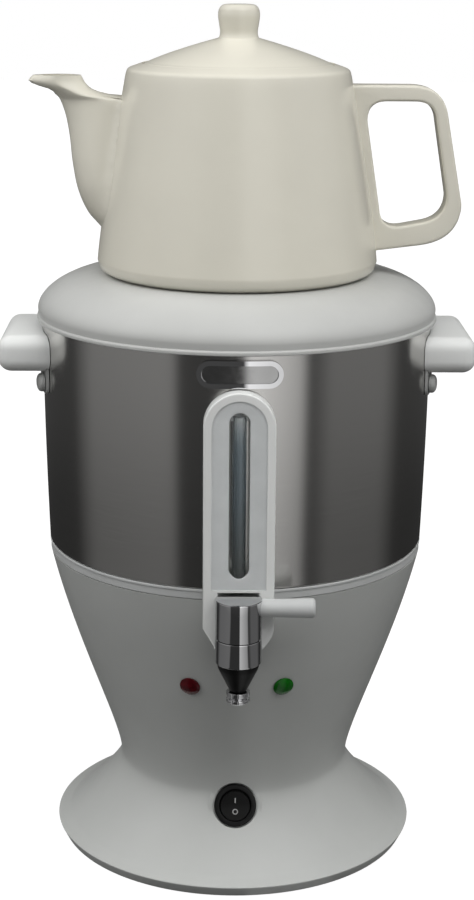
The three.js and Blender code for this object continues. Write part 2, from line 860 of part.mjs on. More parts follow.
function terminalBlock() {
  const bottom = plateTop + seatGap;
  const whole = new THREE.BoxGeometry(terminals.length, terminals.width, terminals.height);
  const block = solid(whole.translate(0, 0, bottom + terminals.height / 2));
  const pitch = terminals.length / terminals.ways;
  const grooves = Array.from({ length: terminals.ways - 1 }, (_, i) =>
    solid(
      new THREE.BoxGeometry(terminals.ridge, terminals.width * 2, terminals.ridge * 2).translate(
        pitch * (i + 1) - terminals.length / 2,
        0,
        bottom + terminals.height,
      ),
    ),
  );
  return without(block, grooves);
}

function cordGland() {
  const face = pedestal.neckRadius + bowlClearAtGland();
  const profile = [
    [gland.boreRadius, -gland.shankLength],
    [gland.shankRadius, -gland.shankLength],
    [gland.shankRadius, 0],
    [gland.flangeRadius, 0],
    [gland.flangeRadius - gland.flangeThickness / 2, gland.flangeThickness],
    [gland.boreRadius, gland.flangeThickness],
  ];
  return solid(turned(profile, tapSides).rotateX(-quarterTurn).translate(0, face, glandHeight));
}

// Room between the gland's flat flange and the bowl, which widens above it.
function bowlClearAtGland() {
  const above = bowlAt(glandHeight + gland.flangeRadius).radius;
  return above - pedestal.neckRadius + seatGap;
}

function glandNut() {
  const inner = pedestal.neckRadius - pedestal.wall - slideGap;
  const alongShank = (radius, length, sides) =>
    solid(disc(radius, 0, length, sides).rotateX(quarterTurn).translate(0, inner, glandHeight));
  const holeLength = gland.nutThickness + 2 * cutOver;
  const hole = alongShank(gland.shankRadius + seatGap, holeLength, tapSides).translate([0, cutOver, 0]);
  const nut = alongShank(gland.nutRadius, gland.nutThickness, nutSides);
  return without(nut, [hole, solid(turned(glandNutClear()))]);
}

// The ring of the neck's wall that the nut's corners would touch.
function glandNutClear() {
  const inner = pedestal.neckRadius - pedestal.wall - seatGap;
  return [
    [inner, pedestal.rimUnderside],
    [pedestal.footRadius, pedestal.rimUnderside],
    [pedestal.footRadius, pedestal.mouthHeight],
    [inner, pedestal.mouthHeight],
  ];
}

// Sight gauge

function gaugeOutline() {
  const half = gauge.width / 2;
  const shape = new THREE.Shape();
  shape.moveTo(-gauge.footWidth / 2, gaugeBottom);
  shape.lineTo(gauge.footWidth / 2, gaugeBottom);
  shape.lineTo(half, gaugeBottom + gauge.footChamfer);
  shape.absarc(0, gaugeTop - half, half, 0, Math.PI);
  shape.lineTo(-half, gaugeBottom + gauge.footChamfer);
  return shape;
}

function gaugeHousing() {
  const back = -pedestal.neckRadius;
  const round = gauge.edgeRound;
  const block = solid(
    standing(gaugeOutline(), back, -gaugeReach + round, {
      bevelEnabled: true,
      bevelSize: round,
      bevelOffset: -round,
      bevelThickness: round,
      bevelSegments: 1,
    }),
  );
  const lensTop = gaugeTop - gauge.border;
  const lensWidth = gauge.width - 2 * gauge.border;
  const seatBack = -gaugeReach + gauge.lensThickness + seatGap * 2;
  const lensSeat = arch(lensWidth + seatGap * 2, lensBottom - seatGap, lensTop + seatGap);
  const pocketBottom = sightTubeBottom - elbow.height + elbow.grip - seatGap;
  const pocket = arch(lensWidth - 2 * gauge.ledge, pocketBottom, lensTop - gauge.ledge);
  return without(block, [
    envelope(seatGap),
    solid(standing(lensSeat, seatBack, -gaugeReach - cutOver)),
    solid(standing(pocket, back, -gaugeReach)),
    ontoTap(disc(tap.radius + slideGap, gaugeBottom - cutOver, tapTop + slideGap, tapSides)),
    solid(rodAlongY(tap.stemRadius + seatGap, stemHeight, back, -gaugeReach)),
  ]);
}

function gaugeLens() {
  const front = -gaugeReach + seatGap;
  const width = gauge.width - 2 * gauge.border;
  const shape = arch(width, lensBottom, gaugeTop - gauge.border);
  const slot = pill(gauge.slotWidth, lensBottom + gauge.slotInset, gaugeTop - gauge.slotDrop);
  shape.holes.push(slot);
  return solid(standing(shape, front + gauge.lensThickness, front)).subtract(sightTubeRoom());
}

function sightTubeBody() {
  const bore = sightTube.radius - sightTube.wall;
  const made = tube(sightTube.radius, bore, sightTubeBottom, sightTubeTop, tubeSides);
  return solid(made.translate(0, -sightTubeReach, 0));
}

// Room for the sight tube and the clearance round it.
function sightTubeRoom() {
  const [bottom, top] = [sightTubeBottom - seatGap, sightTubeTop + seatGap];
  return solid(disc(sightTube.radius + seatGap, bottom, top, tubeSides).translate(0, -sightTubeReach, 0));
}

// The two elbows: where the tube ends, and which way its socket runs past that end.
const tubeEnds = [
  { end: sightTubeBottom, beyond: -1 },
  { end: sightTubeTop, beyond: 1 },
];
const nippleHeight = ({ end, beyond }) => end + (beyond * (elbow.height - elbow.grip)) / 2;

function gaugeElbow(tubeEnd) {
  const height = nippleHeight(tubeEnd);
  const far = tubeEnd.end + tubeEnd.beyond * (elbow.height - elbow.grip);
  const near = tubeEnd.end - tubeEnd.beyond * elbow.grip;
  const upright = (radius, from, to) =>
    solid(disc(radius, Math.min(from, to), Math.max(from, to), tubeSides).translate(0, -sightTubeReach, 0));
  const socket = upright(elbow.socketRadius, near, far).subtract(envelope(seatGap));
  const inside = bandRadiusAt(height) - tank.wall - elbow.nippleInside;
  const nipple = solid(rodAlongY(elbow.nippleRadius, height, -inside, -sightTubeReach, pinSides));
  const bore = solid(rodAlongY(elbow.nippleBore, height, 0, -sightTubeReach, pinSides));
  const front = solid(
    new THREE.BoxGeometry(gauge.width, gauge.width, gauge.width).translate(
      0,
      -gaugeReach + gauge.lensThickness + seatGap * 2 - gauge.width / 2,
      height,
    ),
  );
  const well = upright(sightTube.radius - sightTube.wall, height, tubeEnd.end);
  return without(socket.add(nipple), [front, sightTubeRoom(), well, bore]);
}

function bandRadiusAt(height) {
  const [[r0, z0], [r1, z1], [r2, z2]] = bandOutline;
  if (height < z1) return r0 + ((r1 - r0) * (height - z0)) / (z1 - z0);
  return r1 + ((r2 - r1) * (height - z1)) / (z2 - z1);
}

// Tap

const ontoTap = (geometry) => solid(geometry.translate(0, -tapReach, 0));

function tapBody() {
  const top = jointHeight - seatGap / 2;
  const barrel = ontoTap(
    turned(
      [
        [tap.boreRadius, tapBodyBottom],
        [tap.radius - tap.edge, tapBodyBottom],
        [tap.radius, tapBodyBottom + tap.edge],
        [tap.radius, top - tap.edge / 2],
        [tap.radius - tap.edge / 2, top],
        [tap.boreRadius, top],
      ],
      tapSides,
    ),
  );
  const stem = solid(rodAlongY(tap.stemRadius, stemHeight, tap.stemInside - sumpRadius, -tapReach));
  const bore = ontoTap(disc(tap.boreRadius, tapBodyBottom, top, tapSides));
  const waterway = solid(rodAlongY(tap.stemBore, stemHeight, 0, -tapReach, pinSides));
  return barrel.add(stem.subtract(bore)).subtract(waterway);
}

function tapPlug() {
  const bottom = tapBodyBottom + tap.edge * 2;
  const shoulder = jointHeight - seatGap;
  const plug = ontoTap(
    turned(
      [
        [0, bottom],
        [tap.plugRadius, bottom],
        [tap.plugRadius, shoulder],
        [tap.plugTangRadius, shoulder],
        [tap.plugTangRadius, jointHeight + tap.plugTangHeight],
        [0, jointHeight + tap.plugTangHeight],
      ],
      tapSides,
    ),
  );
  const down = ontoTap(disc(tap.portRadius, bottom - cutOver, stemHeight + tap.portRadius / 2, pinSides));
  const side = solid(
    disc(tap.portRadius, 0, tap.radius, pinSides)
      .rotateY(-quarterTurn)
      .translate(0, -tapReach, stemHeight),
  );
  return without(plug, [down, side]);
}

function tapTurret() {
  const bottom = jointHeight + seatGap / 2;
  const socketTop = jointHeight + tap.plugTangHeight + seatGap;
  const shell = ontoTap(
    turned(
      [
        [tap.plugTangRadius + seatGap, bottom],
        [tap.radius - tap.edge / 2, bottom],
        [tap.radius, bottom + tap.edge / 2],
        [tap.radius, tapTop - tap.edge],
        [tap.radius - tap.edge, tapTop],
        [0, tapTop],
        [0, socketTop],
        [tap.plugTangRadius + seatGap, socketTop],
      ],
      tapSides,
    ),
  );
  const leverSeat = solid(
    disc(lever.tangRadius + seatGap, tap.radius - lever.tangLength - seatGap, tap.radius * 2, pinSides)
      .rotateY(quarterTurn)
      .translate(0, -tapReach, leverHeight),
  );
  return shell.subtract(leverSeat);
}

function tapLever() {
  const root = tap.radius + seatGap;
  const end = tap.radius + lever.length;
  const profile = [
    [0, tap.radius - lever.tangLength],
    [lever.tangRadius, tap.radius - lever.tangLength],
    [lever.tangRadius, root],
    [lever.rootRadius, root],
    [lever.rootRadius, root + lever.length / 3],
    [lever.tipRadius, end - lever.tipRound * 2],
    [lever.tipRadius, end - lever.tipRound],
    [lever.tipRadius - lever.tipRound, end],
    [0, end],
  ];
  return solid(turned(profile, tubeSides).rotateY(quarterTurn).translate(0, -tapReach, leverHeight));
}

function tapCone() {
  const top = tapBodyBottom - seatGap;
  return ontoTap(
    turned(
      [
        [tap.portRadius, coneBottom],
        [tap.coneRadius, coneBottom],
        [tap.radius - tap.edge, top - tap.coneStraight],
        [tap.radius - tap.edge / 2, top],
        [tap.boreRadius - seatGap, top],
        [tap.boreRadius - seatGap, top + tap.edge + seatGap],
        [tap.portRadius, top + tap.edge + seatGap],
      ],
      tapSides,
    ),
  );
}

function tapTip() {
  const top = coneBottom - seatGap;
  const middle = (top + tipBottom) / 2;
  return ontoTap(
    turned(
      [
        [tap.portRadius, tipBottom],
        [tap.tipRadius - tap.tipGroove, tipBottom],
        [tap.tipRadius, tipBottom + tap.tipGroove],
        [tap.tipRadius - tap.tipGroove, middle],
        [tap.tipRadius, top],
        [tap.portRadius, top],
      ],
      tapSides,
    ),
  );
}

function tapSeal() {
  const back = -sumpRadius - seatGap;
  const front = -(bowlAt(stemHeight - tap.sealRadius).radius - pedestal.wall) + seatGap * 4;
  return solid(rodAlongY(tap.sealRadius, stemHeight, back, front)).subtract(
    solid(rodAlongY(tap.stemRadius + seatGap, stemHeight, 0, -tapReach)),
  );
}

function tapNut() {
  const wallInside = Math.sqrt((sumpRadius - tank.wall) ** 2 - tap.nutRadius ** 2);
  const front = -wallInside * Math.cos(Math.PI / ringSides) + seatGap;
  const nut = rodAlongY(tap.nutRadius, stemHeight, front + tap.nutThickness, front, nutSides);
  const hole = rodAlongY(tap.stemRadius + seatGap, stemHeight, 0, -tapReach);
  return solid(nut).subtract(solid(hole));
}

// Plaque, lamps and switch

function plaqueBody() {
  const lying = (width, height) => {
    const radius = height / 2;
    const shape = new THREE.Shape();
    shape.absarc(width / 2 - radius, plaqueCentre, radius, -quarterTurn, quarterTurn);
    shape.absarc(radius - width / 2, plaqueCentre, radius, quarterTurn, 3 * quarterTurn);
    return solid(standing(shape, -sumpRadius, -gaugeReach - cutOver));
  };
  const outer = lying(plaque.width, plaque.height);
  const inner = lying(plaque.width - 2 * plaque.rim, plaque.height - 2 * plaque.rim);
  const plate = outer.intersect(envelope(seatGap + plaque.thickness)).subtract(envelope(seatGap));
  return plate.subtract(inner.subtract(envelope(seatGap + plaque.thickness - plaque.recess)));
}

function lampLens(side) {
  const profile = [
    [0, -lamp.stemLength],
    [lamp.stemRadius, -lamp.stemLength],
    [lamp.stemRadius, seatGap],
    [lamp.lensRadius, seatGap],
    [lamp.lensRadius, seatGap + lamp.lensEdge],
    [lamp.lensRadius / 2, seatGap + lamp.lensEdge + lamp.lensShoulder],
    [0, seatGap + lamp.lensEdge + lamp.lensDome],
  ];
  return solid(toLampPlace(turned(profile, tubeSides), side));
}

function lampHolder(side) {
  const front = -pedestal.wall - 2 * slideGap;
  const profile = [
    [0, front - lamp.holderLength],
    [lamp.holderRadius, front - lamp.holderLength],
    [lamp.holderRadius, front],
    [lamp.stemRadius + seatGap, front],
    [lamp.stemRadius + seatGap, -lamp.stemLength - seatGap],
    [0, -lamp.stemLength - seatGap],
  ];
  return solid(toLampPlace(turned(profile, tubeSides), side));
}

function switchBody() {
  const floor = rocker.flangeThickness - rocker.pivotDepth - rocker.pocketDepth;
  const profile = [
    [0, -rocker.bodyDepth],
    [rocker.bodyRadius, -rocker.bodyDepth],
    [rocker.bodyRadius, 0],
    [rocker.flangeRadius, 0],
    [rocker.flangeRadius, rocker.flangeThickness - rocker.flangeRound],
    [rocker.flangeRadius - rocker.flangeRound, rocker.flangeThickness],
    [rocker.pocketRadius, rocker.flangeThickness],
    [rocker.pocketRadius, floor],
    [0, floor],
  ];
  const blades = [-1, 1].map((side) =>
    solid(
      toRockerPanel(
        new THREE.BoxGeometry(heater.bladeWidth, heater.bladeThickness, heater.bladeLength * 2).translate(
          0,
          (side * rocker.bodyRadius) / 2,
          -rocker.bodyDepth,
        ),
      ),
    ),
  );
  return joined([solid(toRockerPanel(turned(profile, tapSides))), ...blades]);
}

// The key's section in y and z about its pivot, extruded along x, trimmed round and tipped to its rest.
function switchRocker() {
  const r = rocker.keyRadius;
  const shape = new THREE.Shape([
    point(-r, -rocker.keyHip),
    point(0, -rocker.keyBelly),
    point(r, -rocker.keyHip),
    point(r, rocker.keyEdge),
    point(0, rocker.keyMiddle),
    point(-r, rocker.keyEdge),
  ]);
  const slab = new THREE.ExtrudeGeometry(shape, { depth: 2 * r, bevelEnabled: false }).translate(0, 0, -r);
  slab.rotateX(quarterTurn).rotateZ(quarterTurn);
  const round = disc(r, -rocker.bodyDepth, rocker.bodyDepth, tapSides);
  const pivot = rocker.flangeThickness - rocker.pivotDepth;
  const place = (geometry) => toRockerPanel(geometry.rotateX(rockerTilt).translate(0, 0, pivot));
  return solid(place(slab)).intersect(solid(place(round)));
}

// Side handles

const rivetPlaces = () => [
  ["front", -1],
  ["rear", 1],
].flatMap(([end, along]) => [["left", -1], ["right", 1]].map(([hand, side]) => ({ end, along, hand, side })));

// Turns a piece built on its own +Z to stand on the boiler's side at a rivet.
function toRivetPlace(geometry, { along, side }) {
  const radius = bandRadiusAt(rivetHeight);
  const swing = Math.asin((along * rivet.offset) / radius);
  return geometry
    .rotateY(quarterTurn)
    .translate(radius, 0, rivetHeight)
    .rotateZ(side > 0 ? swing : Math.PI - swing);
}

const rivetHole = (place) =>
  solid(toRivetPlace(disc(rivet.shankRadius + seatGap, -cutOver, cutOver, pinSides), place));

function rivetBody(place) {
  const seat = strap.thickness + seatGap * 2;
  const profile = [
    [0, -tank.wall - seatGap * 2 - rivet.innerHeadHeight],
    [rivet.innerHeadRadius, -tank.wall - seatGap * 2 - rivet.innerHeadHeight],
    [rivet.innerHeadRadius, -tank.wall - seatGap * 2],
    [rivet.shankRadius, -tank.wall - seatGap * 2],
    [rivet.shankRadius, seat],
    [rivet.headRadius, seat],
    ...quadratic(
      domeSteps - 1,
      [rivet.headRadius, seat + rivet.headHeight / 4],
      [rivet.headRadius, seat + rivet.headHeight],
      [0, seat + rivet.headHeight],
    ),
  ];
  return solid(toRivetPlace(turned(profile, pinSides), place));
}

const strapStuds = (side, radius, length) =>
  [-1, 1].map((along) => {
    const start = Math.sqrt(bandRadiusAt(studHeight) ** 2 - strap.studOffset ** 2);
    return solid(
      disc(radius, start + strap.thickness / 2, start + length, pinSides)
        .rotateY(quarterTurn)
        .translate(0, along * strap.studOffset, studHeight)
        .rotateZ(side > 0 ? 0 : Math.PI),
    );
  });

function handleStrap(side) {
  const half = strap.halfWidth;
  const shape = roundedRectangle(-half, strapBottom, half, strapTop, strap.cornerRadius);
  const sheet = standing(shape, -sumpRadius, -handleReach, { curveSegments: smallArcSteps });
  const slab = solid(sheet.rotateZ(side * quarterTurn));
  const plate = slab.intersect(envelope(seatGap + strap.thickness)).subtract(envelope(seatGap));
  const holes = rivetPlaces()
    .filter((place) => place.side === side)
    .map((place) => rivetHole(place));
  return without(joined([plate, ...strapStuds(side, strap.studRadius, strap.studLength)]), holes);
}

function handleBody(side) {
  const round = handle.edgeRound;
  const inner = handleReach - handle.rootInset - round;
  const half = handle.halfWidth;
  const shape = roundedRectangle(inner, -half, handleReach, half, handle.cornerRadius + round);
  const block = new THREE.ExtrudeGeometry(shape, {
    depth: handleTop - handleBottom - 2 * round,
    curveSegments: smallArcSteps,
    bevelSize: round,
    bevelOffset: -round,
    bevelThickness: round,
    bevelSegments: 2,
  }).translate(0, 0, handleBottom + round);
  const [gripInner, gripOuter] = [lipRadius + handle.gripRoot, handleReach - handle.gripLip];
  const grip = new THREE.BoxGeometry(
    gripOuter - gripInner,
    2 * handle.gripHalfWidth,
    gripCeiling - handleBottom + cutOver,
  ).translate(
    (gripOuter + gripInner) / 2,
    0,
    (gripCeiling + handleBottom - cutOver) / 2,
  );
  const facing = side > 0 ? 0 : Math.PI;
  return without(solid(block.rotateZ(facing)), [
    envelope(seatGap * 2 + strap.thickness),
    solid(grip.rotateZ(facing)),
    ...strapStuds(side, strap.studRadius + seatGap, strap.studLength + seatGap),
  ]);
}

// Shoulder cover

function shoulderCover() {
  const rimTop = coverRimBottom + cover.rimEdge;
  const coneFoot = [coverRimRadius - cover.rimRound, rimTop + cover.rimRound];
  const coneHead = [cover.seatRadius, seatHeight];
  const middle = [
    (coneFoot[0] + coneHead[0]) / 2 + cover.coneBulge / 2,
    (coneFoot[1] + coneHead[1]) / 2 + cover.coneBulge,
  ];
  const cone = quadratic(coneSteps, coneFoot, middle, coneHead);
  const under = inset(quadratic(coneSteps - 1, coneFoot, middle, coneHead), cover.wall);
  const throat = collarRadius - cover.collarWall;
  const skirt = lipRadius - tank.wall - slideGap;
  const ceiling = lipHeight + seatGap;
  const lipRoom = lipRadius + seatGap;
  const underSeat = seatHeight - cover.wall;
  return solid(
    turned([
      [coverRimRadius, coverRimBottom],
      [coverRimRadius, rimTop],
      ...cone,
      [collarRadius, seatHeight],
      [collarRadius, seatHeight + cover.collarHeight],
      [throat, seatHeight + cover.collarHeight],
      [throat, seatHeight - cover.throatDepth],
      [throat + cover.wall, seatHeight - cover.throatDepth],
      [throat + cover.wall, underSeat],
      [cover.seatRadius - cover.wall / 3, underSeat],
      ...under.reverse().slice(1, -1),
      [skirt - cover.skirtWall, rimTop],
      [skirt - cover.skirtWall, ceiling - cover.skirtDepth],
      [skirt, ceiling - cover.skirtDepth],
      [skirt, ceiling],
      [lipRoom, ceiling],
      [lipRoom, coverRimBottom],
    ]),
  );
}

// Teapot

const potSideEnds = [
  [bellyRadius, potFoot + pot.bellyRise],
  [bellyRadius - pot.bellyPullIn, potFoot + pot.bellyPullRise],
  [pot.shoulderRadius, potShoulder],
];

function potOutside() {
  const recess = potFoot + pot.footRecess;
  return [
    [0, recess],
    [footInnerRadius - pot.footRound, recess],
    [footInnerRadius, potFoot],
    [pot.footRadius, potFoot],
    [heelRadius, potFoot + pot.heelRise],
    ...quadratic(potSteps, ...potSideEnds),
    [pot.shoulderRadius - pot.shoulderRound / 3, potShoulder + pot.shoulderRound],
    [mouthRadius, potMouth],
  ];
}

function potInside() {
  const ledge = potMouth - pot.ledgeDepth;
  const side = inset(quadratic(potSteps / 2, ...potSideEnds), pot.wall);
  return [
    [0, potFloor],
    [footInnerRadius, potFloor],
    ...side,
    [throatRadius, ledge - pot.throatDepth],
    [throatRadius, ledge],
    [mouthRadius, ledge],
    [mouthRadius, potMouth + cutOver],
    [0, potMouth + cutOver],
  ];
}

// The hole of the loop, from its slanted side at the pot to its reaches by the shoulder and the grip.
function potHandleHole(rightTop, rightBottom) {
  const h = potHandle;
  const [leftTop, leftBottom] = [pot.shoulderRadius + h.sideTopOut, bellyRadius + h.sideBottomOut];
  const alongTop = (share) => leftTop + (rightTop - leftTop) * share;
  const alongBottom = (share) => leftBottom + (rightBottom - leftBottom) * share;
  const bends = holeBendShares;
  const hole = new THREE.Path();
  hole.moveTo(alongTop(bends.topInner), holeTop);
  hole.lineTo(alongTop(bends.topOuter), holeTop);
  hole.quadraticCurveTo(rightTop, holeTop, rightTop, holeTop - h.bendTopDrop);
  hole.lineTo(rightBottom, holeBottom + h.bendBottomRise);
  hole.quadraticCurveTo(rightBottom, holeBottom, alongBottom(bends.bottomOuter), holeBottom);
  hole.lineTo(alongBottom(bends.bottomInner), holeBottom);
  hole.quadraticCurveTo(leftBottom, holeBottom, leftBottom, holeBottom + h.sideBottomRise);
  hole.lineTo(leftTop, holeTop - h.sideTopDrop);
  hole.quadraticCurveTo(leftTop, holeTop, alongTop(bends.topInner), holeTop);
  return hole;
}

function potHandleLoop() {
  const h = potHandle;
  const shoulderReach = gripReach - h.shoulderIn;
  const heelReach = gripReach - h.heelIn;
  const shape = new THREE.Shape();
  shape.moveTo(bellyRadius - h.rootBottomDepth, loopBottom);
  shape.lineTo(gripReach - h.underIn, loopBottom);
  shape.quadraticCurveTo(heelReach - h.edgeRound * 2, loopBottom, heelReach, loopBottom + h.heelRise);
  const heelBend = [gripReach + h.edgeRound / 4, loopBottom + h.heelRise + h.edgeRound];
  shape.quadraticCurveTo(...heelBend, gripReach, loopBottom + h.gripRise);
  shape.lineTo(shoulderReach, loopTop - h.shoulderDrop);
  shape.quadraticCurveTo(shoulderReach - h.edgeRound, loopTop, gripReach - h.topIn, loopTop);
  shape.lineTo(pot.shoulderRadius - h.rootTopDepth, loopTop);
  shape.holes.push(potHandleHole(shoulderReach - h.shoulderBarDepth, gripReach - h.barDepth));
  const half = h.thickness / 2;
  return solid(
    standing(shape, half - h.edgeRound, h.edgeRound - half, {
      curveSegments: smallArcSteps,
      bevelEnabled: true,
      bevelSize: h.edgeRound,
      bevelOffset: -h.edgeRound,
      bevelThickness: h.edgeRound,
      bevelSegments: 2,
    }),
  );
}

// One level ring of the spout, drawn to a point at its outer edge near the lip.
function spoutRing([up, outerShare, innerShare, widthShare, pointShare], thinner, raise) {
  const height = spoutBottom + (spoutTop - spoutBottom) * up + raise;
  const outer = spoutReach * outerShare - thinner;
  const inner = spoutReach * innerShare + thinner;
  const [centre, halfLength] = [(outer + inner) / 2, (outer - inner) / 2];
  const halfWidth = (spout.rootWidth * widthShare) / 2 - thinner;
  return Array.from({ length: spoutSides }, (_, i) => {
    const turn = (2 * Math.PI * i) / spoutSides;
    const drawn = 1 - pointShare * Math.max(Math.cos(turn), 0);
    return [-(centre + halfLength * Math.cos(turn)), halfWidth * Math.sin(turn) * drawn, height];
  });
}

function strainerHoles() {
  const { rows, columns, spacing } = strainer;
  return Array.from({ length: rows * columns }, (_, i) => {
    const across = ((i % columns) - (columns - 1) / 2) * spacing;
    const up = potFoot + strainer.rise + (Math.floor(i / columns) - (rows - 1) / 2) * spacing;
    const hole = disc(strainer.holeRadius, spout.rootInside, bellyRadius, nutSides);
    return solid(hole.rotateY(-quarterTurn).translate(0, across, up));
  });
}

// The teapot as if it were filled, grown sideways by a distance.
function potFilled(grow) {
  const [[, underside], ...side] = potOutside();
  const grown = side.map(([radius, height]) => [radius + grow, height]);
  return solid(turned([[0, underside], ...grown, [0, potMouth]], potSides));
}

const teapotBody = () => without(potFilled(0), [solid(turned(potInside(), potSides)), ...strainerHoles()]);

function teapotSpout() {
  const skin = solid(lofted(spoutShares.map((row) => spoutRing(row, 0, 0))));
  const channelRows = spoutShares.slice(1);
  const channelRings = channelRows.map((row) => spoutRing(row, spout.wall, 0));
  const aboveLip = spoutRing(channelRows[channelRows.length - 1], spout.wall, cutOver);
  return without(skin, [potFilled(seatGap), solid(lofted([...channelRings, aboveLip]))]);
}

const teapotHandle = () => potHandleLoop().subtract(potFilled(seatGap));

function teapotLid() {
  const ledge = potMouth - pot.ledgeDepth + seatGap;
  const flange = mouthRadius - lid.flangeGap;
  const spigot = throatRadius - slideGap;
  const inner = spigot - lid.spigotWall;
  const neck = potMouth + lid.neckRise;
  const knobTop = neck + lid.knobHeight;
  const profile = [
    [flange, ledge],
    [flange, ledge + lid.edgeHeight],
    ...quadratic(
      domeSteps,
      [flange - lid.knobRound, ledge + lid.edgeHeight + lid.knobRound / 2],
      [lid.crownRadius, potMouth + lid.crownRise],
      [lid.neckRadius, neck],
    ),
    [lid.knobWaistRadius, neck + lid.knobWaist],
    [lid.knobRadius, neck + lid.knobWide],
    [lid.knobRadius - lid.knobRound / 4, knobTop - lid.knobRound],
    [lid.knobRadius - lid.knobRound, knobTop - lid.knobRound / 4],
    [0, knobTop],
    [0, neck - lid.wall],
    [lid.neckRadius + lid.wall, neck - lid.crownWall],
    [inner, ledge + lid.edgeHeight - lid.wall / 2],
    [inner, ledge - lid.spigotDepth],
    [spigot, ledge - lid.spigotDepth],
    [spigot, ledge],
  ];
  return solid(turned(profile, potSides));
}

// Assembly

const samovar = new THREE.Group();

function addPiece(name, body, look) {
  const made = body.getMesh();
  const geometry = new THREE.BufferGeometry();
  geometry.setAttribute("position", new THREE.BufferAttribute(new Float32Array(made.vertProperties), 3));
  geometry.setIndex(new THREE.BufferAttribute(new Uint32Array(made.triVerts), 1));
  geometry.computeVertexNormals();
  const mesh = new THREE.Mesh(geometry, new THREE.MeshStandardMaterial(look));
  mesh.name = name;
  samovar.add(mesh);
  return mesh;
}

addPiece("pedestal_foot", pedestalPart(0, pedestalJoint - seatGap / 2), finish.whitePlastic);
addPiece("pedestal_bowl", pedestalPart(pedestalJoint + seatGap / 2, lipHeight), finish.whitePlastic);
addPiece("base_plate", basePlateDisc(), finish.blackPlastic);
diagonalPlaces(screwCircle).forEach(([x, y], i) => {
  addPiece("plate_screw_" + (i + 1), plateScrewBody(), finish.aluminium).position.set(x, y, 0);
});
diagonalPlaces(footCircle).forEach(([x, y], i) => {
  addPiece("rubber_foot_" + (i + 1), rubberFootBody(), finish.rubber).position.set(x, y, 0);
});

addPiece("seal_ring", sealRingBody(), finish.softSeal);
addPiece("boiler_tank", boilerBand(), finish.steel);
addPiece("boiler_sump", boilerSump(), finish.steel);
addPiece("heater_plate", heaterPlate(), finish.aluminium);
addPiece("heater_element", heaterElement(), finish.steel);
addPiece("heater_clamp", heaterClamp(), finish.steel);
addPiece("heat_limiter", heatLimiter(), finish.blackPlastic).position.y = heater.partReach;
addPiece("thermal_cutout", thermalCutout(), finish.ceramic).position.y = -heater.partReach;
addPiece("terminal_block", terminalBlock(), finish.ceramic).position.y = terminals.reach;
addPiece("cord_gland", cordGland(), finish.blackPlastic);
addPiece("gland_nut", glandNut(), finish.blackPlastic);

addPiece("gauge_housing", gaugeHousing(), finish.whitePlastic);
addPiece("gauge_lens", gaugeLens(), finish.frosted);
addPiece("sight_tube", sightTubeBody(), finish.glass);
addPiece("gauge_elbow_lower", gaugeElbow(tubeEnds[0]), finish.whitePlastic);
addPiece("gauge_elbow_upper", gaugeElbow(tubeEnds[1]), finish.whitePlastic);

addPiece("tap_body", tapBody(), finish.chrome);
addPiece("tap_plug", tapPlug(), finish.brass);
addPiece("tap_turret", tapTurret(), finish.chrome);
addPiece("tap_lever", tapLever(), finish.whitePlastic);
addPiece("tap_cone", tapCone(), finish.blackPlastic);
addPiece("tap_tip", tapTip(), finish.chrome);
addPiece("tap_seal", tapSeal(), finish.rubber);
addPiece("tap_nut", tapNut(), finish.brass);

addPiece("front_plaque", plaqueBody(), finish.chrome);
addPiece("lamp_lens_red", lampLens(-1), finish.redLens);
addPiece("lamp_lens_green", lampLens(1), finish.greenLens);
addPiece("lamp_holder_red", lampHolder(-1), finish.blackPlastic);
addPiece("lamp_holder_green", lampHolder(1), finish.blackPlastic);
addPiece("switch_body", switchBody(), finish.blackPlastic);
addPiece("switch_rocker", switchRocker(), finish.blackPlastic);

[["left", -1], ["right", 1]].forEach(([hand, side]) => {
  addPiece("side_handle_" + hand, handleBody(side), finish.whitePlastic);
  addPiece("handle_strap_" + hand, handleStrap(side), finish.steel);
});
rivetPlaces().forEach((place) => {
  addPiece("strap_rivet_" + place.hand + "_" + place.end, rivetBody(place), finish.steel);
});

addPiece("shoulder_cover", shoulderCover(), finish.coverPlastic);
addPiece("teapot_body", teapotBody(), finish.porcelain);
addPiece("teapot_spout", teapotSpout(), finish.porcelain);
addPiece("teapot_handle", teapotHandle(), finish.porcelain);
addPiece("teapot_lid", teapotLid(), finish.porcelain);

// The origin lies on the table under the middle of the whole outline, tap included.
samovar.position.y = (tapReach + tap.radius - coverRimRadius) / 2;

export default samovar;
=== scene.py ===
"""Looks of an electric samovar: steel boiler, moulded pedestal and porcelain teapot."""

import math

import bmesh
import bpy
from mathutils import Matrix, Vector


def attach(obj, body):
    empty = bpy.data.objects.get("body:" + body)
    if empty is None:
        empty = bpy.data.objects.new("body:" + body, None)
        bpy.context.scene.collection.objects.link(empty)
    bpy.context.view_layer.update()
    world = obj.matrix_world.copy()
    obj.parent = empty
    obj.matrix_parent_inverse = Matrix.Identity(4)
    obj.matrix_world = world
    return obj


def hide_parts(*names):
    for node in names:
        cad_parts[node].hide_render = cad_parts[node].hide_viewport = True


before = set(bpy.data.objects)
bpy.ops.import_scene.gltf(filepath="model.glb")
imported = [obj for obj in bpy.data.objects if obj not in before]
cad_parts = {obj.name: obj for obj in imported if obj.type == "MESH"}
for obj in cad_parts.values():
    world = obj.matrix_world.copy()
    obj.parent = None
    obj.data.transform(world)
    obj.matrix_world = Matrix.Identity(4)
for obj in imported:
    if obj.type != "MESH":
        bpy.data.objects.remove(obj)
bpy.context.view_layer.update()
scene = bpy.context.scene

# Drawn in millimetres about the boiler's upright axis, then put into the shared frame in metres.
AXIS_Y = 11.7
TO_FRAME = Matrix.Scale(0.001, 4) @ Matrix.Translation((0, AXIS_Y, 0))
ROUND = 144  # sides of a large turned piece
SMALL_ROUND = 64  # sides of a small one
GAP = 0.3


# Shaping tools


